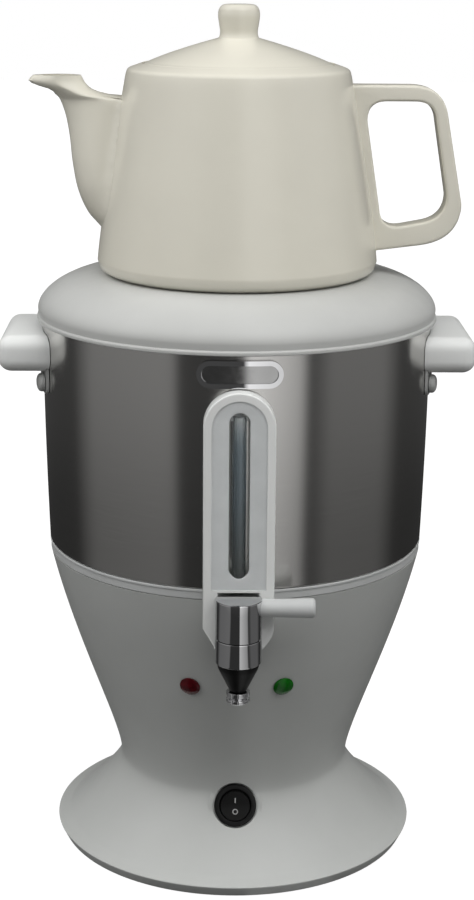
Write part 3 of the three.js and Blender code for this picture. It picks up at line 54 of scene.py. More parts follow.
def curve(ends, steps=12):
    """Points of a Bezier curve through its ends and pulls."""
    made = []
    for step in range(steps + 1):
        share = step / steps
        row = [tuple(end) for end in ends]
        while len(row) > 1:
            row = [tuple(a + (b - a) * share for a, b in zip(p, q)) for p, q in zip(row, row[1:])]
        made.append(row[0])
    return made


def eased(rows, steps=5):
    """A closed outline whose corners are rounded wherever a row gives a third value, its round."""
    made = []
    for i, row in enumerate(rows):
        here = Vector(row[:2])
        if len(row) < 3:
            made.append(tuple(here))
            continue
        back = Vector(rows[i - 1][:2]) - here
        ahead = Vector(rows[(i + 1) % len(rows)][:2]) - here
        start, end = here + back.normalized() * row[2], here + ahead.normalized() * row[2]
        made += curve([start, here, end], steps)
    return made


def beside(rows, distance):
    """The same open outline moved sideways, to the left of its run."""
    made = []
    for i, row in enumerate(rows):
        before, after = rows[max(i - 1, 0)], rows[min(i + 1, len(rows) - 1)]
        run = Vector((after[0] - before[0], after[1] - before[1])).normalized()
        made.append((row[0] - run.y * distance, row[1] + run.x * distance))
    return made


def clean(mesh):
    bmesh.ops.remove_doubles(mesh, verts=mesh.verts[:], dist=0.001)
    bmesh.ops.recalc_face_normals(mesh, faces=mesh.faces[:])
    return mesh


def spun(rows, sides=ROUND):
    """A turned body: a closed outline of radius and height, spun about the upright axis."""
    mesh = bmesh.new()
    points = [mesh.verts.new((radius, 0, height)) for radius, height in rows]
    edges = [mesh.edges.new(pair) for pair in zip(points, points[1:] + points[:1])]
    on_axis = [e for e in edges if all(abs(v.co.x) < 1e-6 for v in e.verts)]
    bmesh.ops.delete(mesh, geom=on_axis, context="EDGES_FACES")
    bmesh.ops.spin(
        mesh,
        geom=mesh.verts[:] + mesh.edges[:],
        axis=(0, 0, 1),
        cent=(0, 0, 0),
        angle=2 * math.pi,
        steps=sides,
        use_merge=True,
    )
    return clean(mesh)


def rod(radius, bottom, top, sides=SMALL_ROUND):
    return spun([(0, bottom), (radius, bottom), (radius, top), (0, top)], sides)


def slab(outline, back, front):
    """An outline of x and z, given its thickness along y."""
    mesh = bmesh.new()
    face = mesh.faces.new([mesh.verts.new((x, back, z)) for x, z in outline])
    made = bmesh.ops.extrude_face_region(mesh, geom=[face])["geom"]
    moved = [v for v in made if isinstance(v, bmesh.types.BMVert)]
    bmesh.ops.translate(mesh, verts=moved, vec=(0, front - back, 0))
    return clean(mesh)


def bar(low, high):
    mesh = bmesh.new()
    size = [b - a for a, b in zip(low, high)]
    middle = [(a + b) / 2 for a, b in zip(low, high)]
    place = Matrix.Translation(middle) @ Matrix.Diagonal((*size, 1))
    bmesh.ops.create_cube(mesh, size=1, matrix=place)
    return mesh


def bent_sheet(columns, rows, place):
    """A grid whose every corner goes to place(share along, share round)."""
    mesh = bmesh.new()
    bmesh.ops.create_grid(mesh, x_segments=columns, y_segments=rows, size=0.5)
    for vertex in mesh.verts:
        vertex.co = place(vertex.co.x + 0.5, vertex.co.y + 0.5)
    bmesh.ops.remove_doubles(mesh, verts=mesh.verts[:], dist=0.001)
    bmesh.ops.holes_fill(mesh, edges=[e for e in mesh.edges if e.is_boundary], sides=0)
    return clean(mesh)


def round_edges(mesh, edges, radius, segments=4):
    bmesh.ops.bevel(
        mesh,
        geom=edges,
        offset=radius,
        offset_type="OFFSET",
        affect="EDGES",
        segments=segments,
        profile=0.5,
        material=-1,
        clamp_overlap=True,
    )
    return mesh


def placed(mesh, matrix):
    mesh.transform(matrix)
    return mesh


def turned_by(angle, axis):
    return Matrix.Rotation(math.radians(angle), 4, axis)


def carved(body, cuts=(), joins=(), keeps=()):
    """The body with other bodies joined to it, kept in common with it, or cut from it."""
    work = [(mesh, "UNION") for mesh in joins]
    work += [(mesh, "INTERSECT") for mesh in keeps]
    work += [(mesh, "DIFFERENCE") for mesh in cuts]
    holders = []
    main = holder("carving", body)
    for number, (mesh, operation) in enumerate(work):
        tool = holder(f"carving_{number}", mesh)
        holders.append(tool)
        step = main.modifiers.new(f"step_{number}", "BOOLEAN")
        step.operation, step.object, step.solver = operation, tool, "EXACT"
    evaluated = main.evaluated_get(bpy.context.evaluated_depsgraph_get())
    mesh = bmesh.new()
    mesh.from_mesh(evaluated.to_mesh())
    evaluated.to_mesh_clear()
    for used in [main, *holders]:
        data = used.data
        bpy.data.objects.remove(used)
        bpy.data.meshes.remove(data)
    bmesh.ops.dissolve_degenerate(mesh, dist=0.002, edges=mesh.edges[:])
    return mesh


def holder(name, mesh):
    data = bpy.data.meshes.new(name)
    mesh.to_mesh(data)
    mesh.free()
    made = bpy.data.objects.new(name, data)
    scene.collection.objects.link(made)
    return made


def piece(name, mesh, body, look, slot, *nodes, crease=32):
    """Finishes a mesh as one piece of the samovar that stands for its CAD nodes."""
    mesh.transform(TO_FRAME)
    for face in mesh.faces:
        face.smooth = True
    for edge in mesh.edges:
        edge.smooth = len(edge.link_faces) == 2 and edge.calc_face_angle(0) < math.radians(crease)
    made = holder(name, mesh)
    made.data.materials.clear()
    made.data.materials.append(look)
    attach(made, body)
    if nodes:
        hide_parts(*nodes)
    return made


# Finishes


def map_range(nodes, **limits):
    """A Map Range node with its limits set, such as To_Min=0.2."""
    step = nodes.new("ShaderNodeMapRange")
    for socket, value in limits.items():
        step.inputs[socket.replace("_", " ")].default_value = value
    return step


def fill_ramp(ramp, rows):
    """Gives a colour ramp one stop for each row of place and colour."""
    stops = ramp.color_ramp.elements
    while len(stops) < len(rows):
        stops.new(0.5)
    for stop, (place, _) in zip(stops, rows):
        stop.position = place
    for stop, (_, tint) in zip(stops, rows):
        stop.color = (*tint, 1)


def seen_or_shiny(nodes, links):
    """1 on what the lens, a reflection or clear glass looks at, and 0 on what only lights."""
    path = nodes.new("ShaderNodeLightPath")
    value = path.outputs["Is Camera Ray"]
    for ray in ("Is Transmission Ray", "Is Glossy Ray"):
        larger = nodes.new("ShaderNodeMath")
        larger.operation = "MAXIMUM"
        links.new(value, larger.inputs[0])
        links.new(path.outputs[ray], larger.inputs[1])
        value = larger.outputs[0]
    return value


class Finish:
    """A Principled material with a few named steps to vary it over the piece."""

    def __init__(self, name, **values):
        self.look = bpy.data.materials.new(name)
        self.look.use_nodes = True
        self.nodes, self.links = self.look.node_tree.nodes, self.look.node_tree.links
        self.shader = self.nodes["Principled BSDF"]
        for socket, value in values.items():
            self.shader.inputs[socket.replace("_", " ")].default_value = value
        self.place = self.nodes.new("ShaderNodeTexCoord")

    def grain(self, size, stretch=(1, 1, 1), detail=3):
        """Noise whose spots are about so many metres across, stretched along each axis."""
        mapping = self.nodes.new("ShaderNodeMapping")
        mapping.inputs["Scale"].default_value = [1 / (size * s) for s in stretch]
        noise = self.nodes.new("ShaderNodeTexNoise")
        noise.inputs["Scale"].default_value = 1
        noise.inputs["Detail"].default_value = detail
        self.links.new(self.place.outputs["Object"], mapping.inputs["Vector"])
        self.links.new(mapping.outputs["Vector"], noise.inputs["Vector"])
        return noise.outputs["Fac"]

    def spread(self, value, low, high):
        """Stretches the middle of a grain from low to high."""
        step = map_range(self.nodes, From_Min=0.3, From_Max=0.7, To_Min=low, To_Max=high)
        self.links.new(value, step.inputs["Value"])
        return step.outputs["Result"]

    def colour(self, value, dark, light):
        mix = self.nodes.new("ShaderNodeMix")
        mix.data_type = "RGBA"
        mix.inputs["A"].default_value = (*dark, 1)
        mix.inputs["B"].default_value = (*light, 1)
        self.links.new(self.spread(value, 0, 1), mix.inputs["Factor"])
        self.links.new(mix.outputs["Result"], self.shader.inputs["Base Color"])
        return mix

    def roughness(self, value, low, high):
        self.links.new(self.spread(value, low, high), self.shader.inputs["Roughness"])

    def bump(self, value, depth, strength=0.3):
        """Raises the surface by the grain, by so many metres."""
        bump = self.nodes.new("ShaderNodeBump")
        bump.inputs["Strength"].default_value = strength
        bump.inputs["Distance"].default_value = depth
        self.links.new(value, bump.inputs["Height"])
        self.links.new(bump.outputs["Normal"], self.shader.inputs["Normal"])
        return bump


def moulded(name, dark, light, rough, gloss=0.0, texture=0.00002, shine=0.5):
    """A moulded plastic or rubber: an even colour with a faint cloud and a fine skin."""
    finish = Finish(name, Coat_Weight=gloss, Coat_Roughness=0.12, Specular_IOR_Level=shine)
    finish.colour(finish.grain(0.03), dark, light)
    finish.roughness(finish.grain(0.008), rough - 0.04, rough + 0.05)
    finish.bump(finish.grain(0.0007, detail=2), texture)
    return finish.look


def plain_metal(name, dark, light, rough, spots=0.01):
    """Plated or cast metal with a faint smear in its shine."""
    finish = Finish(name, Metallic=1.0)
    finish.colour(finish.grain(spots), dark, light)
    finish.roughness(finish.grain(spots / 2), rough * 0.75, rough * 1.3)
    finish.bump(finish.grain(0.0012), 0.00002, 0.1)
    return finish.look


def chrome_with_painted_shade():
    """Bright plating with painted shade: its colour darkens where it turns away from the lens."""
    finish = Finish("tap_chrome_plate", Metallic=1.0)
    facing = finish.nodes.new("ShaderNodeLayerWeight")
    turned = map_range(finish.nodes, From_Min=0.5, From_Max=0.95, To_Min=0.35, To_Max=0.65)
    finish.links.new(facing.outputs["Facing"], turned.inputs["Value"])
    # painted shade: bright where the plating faces the lens, dark where it turns away
    finish.colour(turned.outputs["Result"], (0.87, 0.87, 0.88), (0.25, 0.25, 0.26))
    finish.roughness(finish.grain(0.004), 0.025, 0.045)
    return finish.look


def brushed_steel():
    """Satin steel, brushed level round the boiler, so its shine is drawn upright."""
    finish = Finish("satin_boiler_steel", Metallic=1.0, Anisotropic=0.75, Anisotropic_Rotation=0.25)
    lines = finish.grain(0.002, stretch=(14, 14, 0.07), detail=4)
    finish.colour(lines, (0.59, 0.58, 0.56), (0.63, 0.62, 0.60))
    finish.roughness(lines, 0.19, 0.25)
    finish.bump(lines, 0.000005, 0.1)
    tangent = finish.nodes.new("ShaderNodeTangent")
    tangent.direction_type, tangent.axis = "RADIAL", "Z"
    finish.links.new(tangent.outputs["Tangent"], finish.shader.inputs["Tangent"])
    return finish.look


def glazed_porcelain():
    """Ivory glaze over porcelain, a little uneven as a dipped glaze is."""
    finish = Finish("ivory_glaze", Coat_Weight=0.5, Coat_Roughness=0.16, IOR=1.5)
    finish.colour(finish.grain(0.04), (0.70, 0.675, 0.585), (0.73, 0.705, 0.61))
    finish.roughness(finish.grain(0.03), 0.28, 0.33)
    return finish.look


def lamp_glass(name, dark, light):
    finish = Finish(name, Coat_Weight=0.1, Coat_Roughness=0.12, Specular_IOR_Level=0.35)
    finish.colour(finish.grain(0.0025), dark, light)
    finish.roughness(finish.grain(0.001), 0.12, 0.22)
    finish.bump(finish.grain(0.0012), 0.00004, 0.3)
    return finish.look


def frosted():
    finish = Finish("frosted_window", Transmission_Weight=0.35, IOR=1.49)
    finish.colour(finish.grain(0.01), (0.78, 0.80, 0.80), (0.84, 0.86, 0.86))
    finish.roughness(finish.grain(0.002), 0.34, 0.46)
    finish.bump(finish.grain(0.0006), 0.00002, 0.3)
    return finish.look


GLASS_TINTS = [
    (0, (0.32, 0.34, 0.33)),
    (0.5, (0.45, 0.51, 0.54)),
    (0.82, (0.50, 0.56, 0.59)),
    (1, (0.85, 0.87, 0.87)),
]


def clear():
    """Sight glass: pale at the top, dark blue-grey lower down the tube, darkest at its foot."""
    finish = Finish("clear_sight_glass", Transmission_Weight=0.9, IOR=1.47)
    split = finish.nodes.new("ShaderNodeSeparateXYZ")
    finish.links.new(finish.place.outputs["Object"], split.inputs[0])
    depth = map_range(finish.nodes, From_Min=0.182, From_Max=0.268)
    finish.links.new(split.outputs["Z"], depth.inputs["Value"])
    ramp = finish.nodes.new("ShaderNodeValToRGB")
    fill_ramp(ramp, GLASS_TINTS)
    finish.links.new(depth.outputs["Result"], ramp.inputs["Fac"])
    finish.links.new(ramp.outputs["Color"], finish.shader.inputs["Base Color"])
    finish.roughness(finish.grain(0.004), 0.04, 0.08)
    return finish.look


white_plastic = moulded("white_moulding", (0.76, 0.77, 0.755), (0.79, 0.80, 0.785), 0.36, 0.15)
# painted shade: the pedestal is the same white moulding, in a copy darkened to about 0.47 for the shade on
# the samovar's lower part
pedestal_white_painted_shade = moulded(
    "pedestal_moulding_white_painted_shade", (0.465, 0.475, 0.46), (0.485, 0.495, 0.48), 0.40, 0.1
)
# painted shade: the cover is white moulding, in a copy darkened to about 0.5 to hold down the light on its
# upturned face
cover_plastic = moulded("cover_moulding", (0.49, 0.495, 0.48), (0.51, 0.515, 0.50), 0.40, 0.1)
# painted shade: the lever is white moulding, in a copy darkened to about 0.51 for the shade it sits in
lever_white_painted_shade = moulded("lever_moulding_painted_shade", (0.50, 0.51, 0.505), (0.53, 0.54, 0.535), 0.36, 0.1)
black_plastic = moulded(
    "black_moulding", (0.004, 0.004, 0.004), (0.007, 0.007, 0.007), 0.4, 0.05, shine=0.3
)
black_rubber = moulded("foot_rubber", (0.015, 0.015, 0.015), (0.03, 0.03, 0.03), 0.7, 0, 0.00006)
grey_seal = moulded("seal_grey", (0.48, 0.49, 0.485), (0.54, 0.55, 0.545), 0.5, 0, 0.00004)
ceramic = moulded("terminal_ceramic_body", (0.74, 0.72, 0.67), (0.80, 0.78, 0.73), 0.55)
steel = brushed_steel()
screw_steel = plain_metal("zinc_screw", (0.50, 0.50, 0.49), (0.60, 0.60, 0.59), 0.3, 0.003)
aluminium = plain_metal("cast_heater_alloy", (0.55, 0.55, 0.55), (0.68, 0.68, 0.68), 0.45, 0.004)
chrome = chrome_with_painted_shade()
strap_grey = moulded("strap_grey_coat", (0.36, 0.365, 0.355), (0.42, 0.425, 0.415), 0.42)
plaque_grey = plain_metal("plaque_field_steel", (0.40, 0.40, 0.395), (0.47, 0.47, 0.465), 0.16)
brass = plain_metal("turned_brass", (0.72, 0.52, 0.24), (0.80, 0.60, 0.30), 0.22, 0.005)
porcelain = glazed_porcelain()
red_glass = lamp_glass("red_lamp_glass", (0.05, 0.0008, 0.003), (0.10, 0.002, 0.006))
green_glass = lamp_glass("green_lamp_glass", (0.001, 0.075, 0.0015), (0.003, 0.14, 0.004))
frosted_window = frosted()
sight_glass = clear()
print_paint = moulded("switch_mark_paint", (0.30, 0.30, 0.30), (0.40, 0.40, 0.40), 0.5)

LOOK_OF_SLOT = {
    "white_plastic": white_plastic,
    "cover_plastic": cover_plastic,
    "black_plastic": black_plastic,
    "screw_steel": screw_steel,
    "black_rubber": black_rubber,
    "grey_seal": grey_seal,
    "boiler_steel": steel,
    "cast_aluminium": aluminium,
    "terminal_ceramic": ceramic,
    "frosted_lens": frosted_window,
    "clear_glass": sight_glass,
    "tap_chrome": chrome,
    "tap_brass": brass,
    "red_lens": red_glass,
    "green_lens": green_glass,
    "pot_porcelain": porcelain,
}


def dress_cad_nodes():
    """Gives every CAD node the finish of its material slot."""
    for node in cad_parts.values():
        for place in node.material_slots:
            place.material = LOOK_OF_SLOT[place.material.name.split(".")[0]]


# Outlines that several pieces share

FLARE = curve([(98.4, 5.8), (79.7, 19.68), (64.4, 37.55), (64.4, 45)], 20)
BOWL = curve([(64.4, 45), (64.4, 62.33), (89.74, 113.09), (102.5, 168.8)], 32)
BAND = curve([(102.9, 176.4), (105.0, 236.95), (105, 297.5)], 16)


def grown(distance):
    """Everything inside the bowl, seal and boiler, grown by a distance."""
    side = [(radius + distance, height) for radius, height in [*BOWL, *BAND]]
    return spun([(0, 45), *side, (105 + distance, 303), (0, 303)])


def bowl_at(height):
    """Radius of the bowl at a height and how far it leans out there, in degrees."""
    upper = next(i for i, (_, z) in enumerate(BOWL) if z > height)
    (r0, z0), (r1, z1) = BOWL[upper - 1], BOWL[upper]
    return r0 + (r1 - r0) * (height - z0) / (z1 - z0), math.degrees(math.atan2(r1 - r0, z1 - z0))


SWITCH_PLACE = Matrix.Translation((0, -66.083, 38.087)) @ turned_by(66, "X")


LAMP_HEIGHT = 115
LAMP_ASIDE = 24.4
TAP_HEIGHT = 149  # of the tap's stem


def lamp_place(side):
    """Where a pilot lamp sits square to the bowl, its own axis outwards."""
    radius, lean = bowl_at(LAMP_HEIGHT)
    swing = math.degrees(math.asin(LAMP_ASIDE / radius))
    return (
        turned_by(side * swing, "Z")
        @ Matrix.Translation((0, -radius, LAMP_HEIGHT))
        @ turned_by(90 + lean, "X")
    )


def along_y(radius, height, back, front):
    """A rod along y at a height."""
    place = Matrix.Translation((0, back, height)) @ turned_by(90, "X")
    return placed(rod(radius, 0, back - front), place)


def diagonals(radius):
    """Four places round the axis, at its diagonals."""
    turns = [math.radians(45 + 90 * i) for i in range(4)]
    return [(radius * math.cos(turn), radius * math.sin(turn)) for turn in turns]


# Pedestal and its seal


def make_pedestal():
    rim = eased([(96.3, 0.8), (98.1, 0.8, 0.5), (101.2, 7, 0.9), FLARE[1]])[:-1]
    outside = rim + FLARE[1:] + BOWL[1:]
    inside = beside(FLARE + BOWL[1:], 2.4)
    inside[-1] = (99.9, 168.8)
    shell = spun(outside + inside[::-1])
    pad = placed(rod(14.6, -3, -0.2), SWITCH_PLACE)
    cuts = [
        placed(rod(12.2, -GAP, 12), SWITCH_PLACE),
        placed(rod(10.2, -12, 6), SWITCH_PLACE),
        along_y(5.5, TAP_HEIGHT, -60, -110),
        along_y(5.9, 54, 110, 40),
        *[placed(rod(4.7, -6, 6), lamp_place(side)) for side in (-1, 1)],
    ]
    bosses = [
        placed(rod(5, 4.7, 20), Matrix.Translation((x, y, 0))) for x, y in diagonals(72)
    ]
    body = carved(shell, joins=[pad, *bosses], cuts=cuts)
    nodes = ("pedestal_foot", "pedestal_bowl")
    piece("pedestal_moulding", body, "stand", pedestal_white_painted_shade, "white_plastic", *nodes)


def make_seal():
    rows = [
        (98.8, 169.1),
        (102.4, 169.1, 0.5),
        (102.4, 173.2, 0.2),
        (102.9, 173.2, 0.3),
        (102.9, 174.6, 0.4),
        (98.8, 174.6),
    ]
    piece("boiler_seal", spun(eased(rows)), "stand", grey_seal, "grey_seal", "seal_ring")


def make_boiler():
    outside = eased(
        [(0, 136), (88, 136, 3), (88, 160, 2), (98.3, 174.9, 1), (102.9, 174.9, 1), (102.9, 176.4)]
    )
    inside = [(radius - 1.2, height) for radius, height in BAND]
    inner = eased([(101.7, 177), (97.1, 176.1, 1), (86.8, 160.6, 2), (86.8, 137.2, 3), (0, 137.2)])
    body = spun(outside + BAND[1:] + inside[::-1] + inner)
    tap_hole = along_y(5.5, TAP_HEIGHT, -60, -119)
    gauge_holes = [along_y(2.8, height, -80, -119) for height in (179.4, 270.8)]
    body = carved(body, cuts=[tap_hole, *gauge_holes])
    piece("boiler_drum", body, "stand", steel, "boiler_steel", "boiler_tank", "boiler_sump")


# Sight gauge and tap

TAP_PLACE = Matrix.Translation((0, -119, 0))
LEVER_PLACE = Matrix.Translation((0, 0, 171.2)) @ turned_by(90, "Y")  # from the tap's axis, along x
HOUSING_FRONT = -113.6
LENS_FRONT = -113.1


def arch(width, bottom, top, steps=32):
    """Outline with a level foot and a half round on top."""
    half = width / 2
    turn = [math.pi * i / steps for i in range(steps + 1)]
    return [(-half, bottom), (half, bottom)] + [
        (half * math.cos(t), top - half + half * math.sin(t)) for t in turn
    ]


def pill(width, bottom, top, steps=16):
    """Outline with a half round at either end."""
    half = width / 2
    turn = [math.pi * i / steps for i in range(steps + 1)]
    upper = [(half * math.cos(t), top - half + half * math.sin(t)) for t in turn]
    lower = [(-half * math.cos(t), bottom + half - half * math.sin(t)) for t in turn]
    return upper + lower


def front_edges(mesh, front):
    return [e for e in mesh.edges if all(abs(v.co.y - front) < 0.01 for v in e.verts)]


def make_gauge_housing():
    foot = eased([(-12.5, 146.5, 1.5), (12.5, 146.5, 1.5), (18, 154.5, 4), (18, 262)], 4)[:-1]
    body = slab(foot + arch(36, 148, 280)[2:] + [(-18, 158)], -60, HOUSING_FRONT)
    round_edges(body, front_edges(body, HOUSING_FRONT), 6.2, 9)
    cuts = [
        grown(GAP),
        slab(arch(27.7, 178.3, 275.85), -111, -120),
        slab(arch(21.9, 178.3, 272.95), -60, -114),
        placed(rod(12.0, 135, 177.2), TAP_PLACE),
        along_y(5.5, TAP_HEIGHT, -60, -114),
    ]
    body = carved(body, cuts=cuts)
    piece("gauge_frame", body, "stand", white_plastic, "white_plastic", "gauge_housing")


def make_gauge_lens():
    pane = slab(arch(27.66, 178.4, 275.83), -111.3, LENS_FRONT)
    body = carved(pane, cuts=[slab(pill(10.4, 184.4, 270), -105, -118)])
    rims = front_edges(body, LENS_FRONT)
    slot_rim = [e for e in rims if all(abs(v.co.x) < 5.3 and v.co.z > 184 for v in e.verts)]
    round_edges(body, slot_rim, 1.9, 6)
    room = placed(rod(3.8, 182.3, 267.9), Matrix.Translation((0, -109.1, 0)))
    body = carved(body, cuts=[room])
    piece("gauge_window", body, "stand", frosted_window, "frosted_lens", "gauge_lens")


def make_tap_body():
    rows = [(6.2, 142.3), (11.8, 142.3, 1.1), (11.8, 155.45, 0.5), (6.2, 155.45)]
    barrel = placed(spun(eased(rows), SMALL_ROUND), TAP_PLACE)
    bore = placed(rod(6.2, 140, 158), TAP_PLACE)
    stem = carved(along_y(5.2, TAP_HEIGHT, -82, -113), cuts=[bore])
    body = carved(barrel, joins=[stem])
    piece("tap_barrel", body, "stand", chrome, "tap_chrome", "tap_body")


def make_turret():
    rows = [(4.5, 155.75), (11.8, 155.75, 0.5), (11.8, 176.2, 0.8), (0, 176.2), (0, 163), (4.5, 163)]
    lever_seat = [(0, 5.8), (2.9, 5.8), (2.9, 9.1), (4.75, 9.1), (4.75, 20), (0, 20)]
    seat = placed(spun(lever_seat, SMALL_ROUND), LEVER_PLACE)
    body = placed(carved(spun(eased(rows), SMALL_ROUND), cuts=[seat]), TAP_PLACE)
    piece("tap_turning_cap", body, "tap_handle", chrome, "tap_chrome", "tap_turret")


def make_tap_cone():
    rows = [(2.5, 127.3), (4.3, 127.3, 0.4), (10.3, 139.6, 1.0), (10.7, 142.0, 0.4), (2.5, 142.0)]
    body = placed(spun(eased(rows), SMALL_ROUND), TAP_PLACE)
    piece("tap_cone_nozzle", body, "stand", black_plastic, "black_plastic", "tap_cone")


def make_tap_tip():
    rows = [
        (2.5, 120.6),
        (4.9, 120.6, 0.3),
        (6, 121.7, 0.4),
        (6, 123.0, 0.4),
        (4.9, 123.8, 0.3),
        (6, 124.7, 0.4),
        (6, 127, 0.5),
        (2.5, 127),
    ]
    tip = spun(eased(rows, 3), SMALL_ROUND)
    cuts = [
        placed(rod(0.5, 119, 128, 12), turned_by(30 * i, "Z") @ Matrix.Translation((6.1, 0, 0)))
        for i in range(12)
    ]
    body = placed(carved(tip, cuts=cuts), TAP_PLACE)
    piece("tap_outlet_tip", body, "stand", chrome, "tap_chrome", "tap_tip")


def make_lever():
    root = [(0, 6.1), (2.6, 6.1), (2.6, 9.3), (4.6, 9.3), (4.6, 20)]
    grip = [(5.1, 36, 1), (5.1, 38.4, 2.0), (0, 38.4)]
    body = placed(spun(eased(root + grip), SMALL_ROUND), TAP_PLACE @ LEVER_PLACE)
    piece("tap_lever_grip", body, "tap_handle", lever_white_painted_shade, "white_plastic", "tap_lever")


# Plaque and lamps on the front


def make_plaque():
    def lying(width, height):
        outline = [(z, x + 287.6) for x, z in pill(height, -width / 2, width / 2, 20)]
        return slab(outline, -88, -118)

    inner = carved(lying(38.2, 9.0), cuts=[grown(1.5)])
    body = carved(lying(43, 13.8), keeps=[grown(2.3)], cuts=[grown(GAP), inner])
    piece("front_plaque_rim", body, "stand", chrome, "tap_chrome", "front_plaque")
    field = carved(lying(38.1, 8.9), keeps=[grown(1.6)], cuts=[grown(1.3)])
    piece("front_plaque_field", field, "stand", plaque_grey, "tap_chrome")


def make_lamps():
    dome = curve([(5.2, 1.1), (3.2, 2.3), (0, 2.4)], 6)
    rows = [(0, -9), (4.4, -9), (4.4, 0.3), (5.5, 0.3, 0.2), (5.5, 1.0, 0.3), *dome]
    for side, colour, look in ((-1, "red", red_glass), (1, "green", green_glass)):
        body = placed(spun(eased(rows, 3), SMALL_ROUND), lamp_place(side))
        piece(f"pilot_lamp_{colour}", body, "stand", look, f"{colour}_lens", f"lamp_lens_{colour}")


# Rocker switch in the foot


def make_switch():
    rows = [
        (0, -14),
        (9.9, -14),
        (9.9, 0),
        (11.5, 0, 0.2),
        (11.5, 2, 0.9),
        (8.6, 2, 0.5),
        (8.6, -3.9),
        (0, -3.9),
    ]
    body = placed(spun(eased(rows), SMALL_ROUND), SWITCH_PLACE)
    blades = [
        placed(bar((-3.15, middle - 0.4, -21), (3.15, middle + 0.4, -13)), SWITCH_PLACE)
        for middle in (-3.95, 3.95)
    ]
    piece("switch_case", carved(body, joins=blades), "stand", black_plastic, "black_plastic", "switch_body")


KEY_PLACE = SWITCH_PLACE @ Matrix.Translation((0, 0, 0.5)) @ turned_by(8, "X")


def make_rocker():
    under = [(-7.9, -0.5), (0, -2.9), (7.9, -0.5)]
    section = eased([*under, (7.9, 3, 0.5), (0, 1.5, 2.5), (-7.9, 3, 0.5)])
    sheet = placed(slab(section, -9, 9), turned_by(90, "Z"))
    body = carved(sheet, keeps=[rod(7.9, -8, 8)])
    placed(body, KEY_PLACE)
    piece("switch_key", body, "rocker", black_plastic, "black_plastic", "switch_rocker")
    stroke = bar((-0.3, 1.6, 1.75), (0.3, 4.4, 2.45))
    piece("switch_mark_on", placed(stroke, KEY_PLACE), "rocker", print_paint, "black_plastic")
    ring = spun([(1.0, 0), (1.5, 0), (1.5, 0.5), (1.0, 0.5)], 40)
    placed(ring, KEY_PLACE @ Matrix.Translation((0, -3.2, 1.75)) @ turned_by(-10.7, "X"))
    piece("switch_mark_off", ring, "rocker", print_paint, "black_plastic")


# Side handles, their straps and rivets


def strap_block(half, low, high, corner=0):
    """A block through the boiler's side that outlines a strap there, its corners rounded."""
    corners = [(-half, low), (half, low), (half, high), (-half, high)]
    if corner:
        corners = eased([(x, z, corner) for x, z in corners])
    return placed(slab(corners, -80, -112), turned_by(90, "Z"))


def make_handle(name, facing):
    body = bar((90, -36, 272), (126.7, 36, 291.3))
    round_edges(body, body.edges[:], 7, 9)
    hollow = bar((109.4, -25, 260), (120.2, 25, 286))
    round_edges(hollow, hollow.edges[:], 1.5, 3)
    room = placed(strap_block(34, 256, 288.4), facing)
    cuts = [grown(0.2), carved(room, keeps=[grown(1.75)]), placed(hollow, facing)]
    body = carved(placed(body, facing), cuts=cuts)
    node = f"side_handle_{name}"
    piece(f"side_handle_grip_{name}", body, "stand", white_plastic, "white_plastic", node)


def make_strap(name, facing):
    sheet = placed(strap_block(33.5, 259.6, 288, 5), facing)
    strap = carved(sheet, keeps=[grown(1.6)], cuts=[grown(GAP)])
    node = f"handle_strap_{name}"
    piece(f"side_strap_{name}", strap, "stand", strap_grey, "boiler_steel", node)


def make_handles():
    for name, facing in (("left", turned_by(180, "Z")), ("right", Matrix())):
        make_handle(name, facing)
        make_strap(name, facing)


def make_rivets():
    dome = curve([(5, 2.8), (5, 5.5), (0, 5.5)], 10)
    shank = [(0, -2.8), (3.4, -2.8), (3.4, -1.8), (2, -1.8), (2, 1.9), (5, 1.9)]
    for side, hand in ((-1, "left"), (1, "right")):
        for along, end in ((-1, "front"), (1, "rear")):
            swing = math.degrees(math.asin(along * 27.5 / 105))
            turn = turned_by(swing if side > 0 else 180 - swing, "Z")
            place = turn @ Matrix.Translation((104.97, 0, 265.6)) @ turned_by(90, "Y")
            body = placed(spun(shank + dome, SMALL_ROUND), place)
            node = f"strap_rivet_{hand}_{end}"
            piece(f"rivet_{hand}_{end}", body, "stand", strap_grey, "boiler_steel", node)


# Shoulder cover, teapot and lid


def make_cover():
    top = curve([(107.3, 302.4), (107.4, 309.6), (94, 320.8), (71.8, 321.2)], 28)
    under = beside(top, 2.4)[2:]
    lip = [(105.3, 297), (107.8, 297, 0.5), (107.8, 298.7, 0.5), (107, 299.5, 0.3), (107.3, 302.4)]
    collar = [
        (71.8, 321.2),
        (57.4, 321.2, 0.4),
        (57.4, 323.4, 0.6),
        (54.4, 323.4, 0.6),
        (54.4, 315.2, 0.6),
        (56.8, 315.2, 0.6),
        (56.8, 318.8),
        (71.0, 318.8),
    ]
    skirt = [(101.1, 301.8), (101.1, 289.3), (103.3, 289.3), (103.3, 297.8), (105.3, 297.8)]
    body = spun(eased(lip) + top[1:] + eased(collar)[1:] + under[::-1] + skirt)
    piece(
        "shoulder_cover_moulding", body, "cover", cover_plastic, "cover_plastic", "shoulder_cover"
    )


# The spout, row by row: shares of its height, of its reach at its outer and its inner side and of
# its half width, and how pointed its outer side is.
SPOUT_REACH = 110.3
SPOUT_HALF_WIDTH = 18
SPOUT_BOTTOM = 345.5
SPOUT_HEIGHT = 79
SPOUT_ROWS = [
    (0, 0.664, 0.453, 0.62, 0),
    (0.09, 0.722, 0.453, 0.9, 0),
    (0.24, 0.77, 0.453, 1, 0),
    (0.42, 0.795, 0.453, 0.92, 0),
    (0.6, 0.808, 0.453, 0.78, 0),
    (0.74, 0.826, 0.453, 0.67, 0.05),
    (0.85, 0.855, 0.453, 0.6, 0.1),
    (0.876, 0.875, 0.62, 0.585, 0.13),
    (0.905, 0.895, 0.69, 0.56, 0.17),
    (0.928, 0.95, 0.715, 0.55, 0.22),
    (0.96, 1, 0.735, 0.53, 0.33),
    (1, 0.978, 0.75, 0.52, 0.42),
]


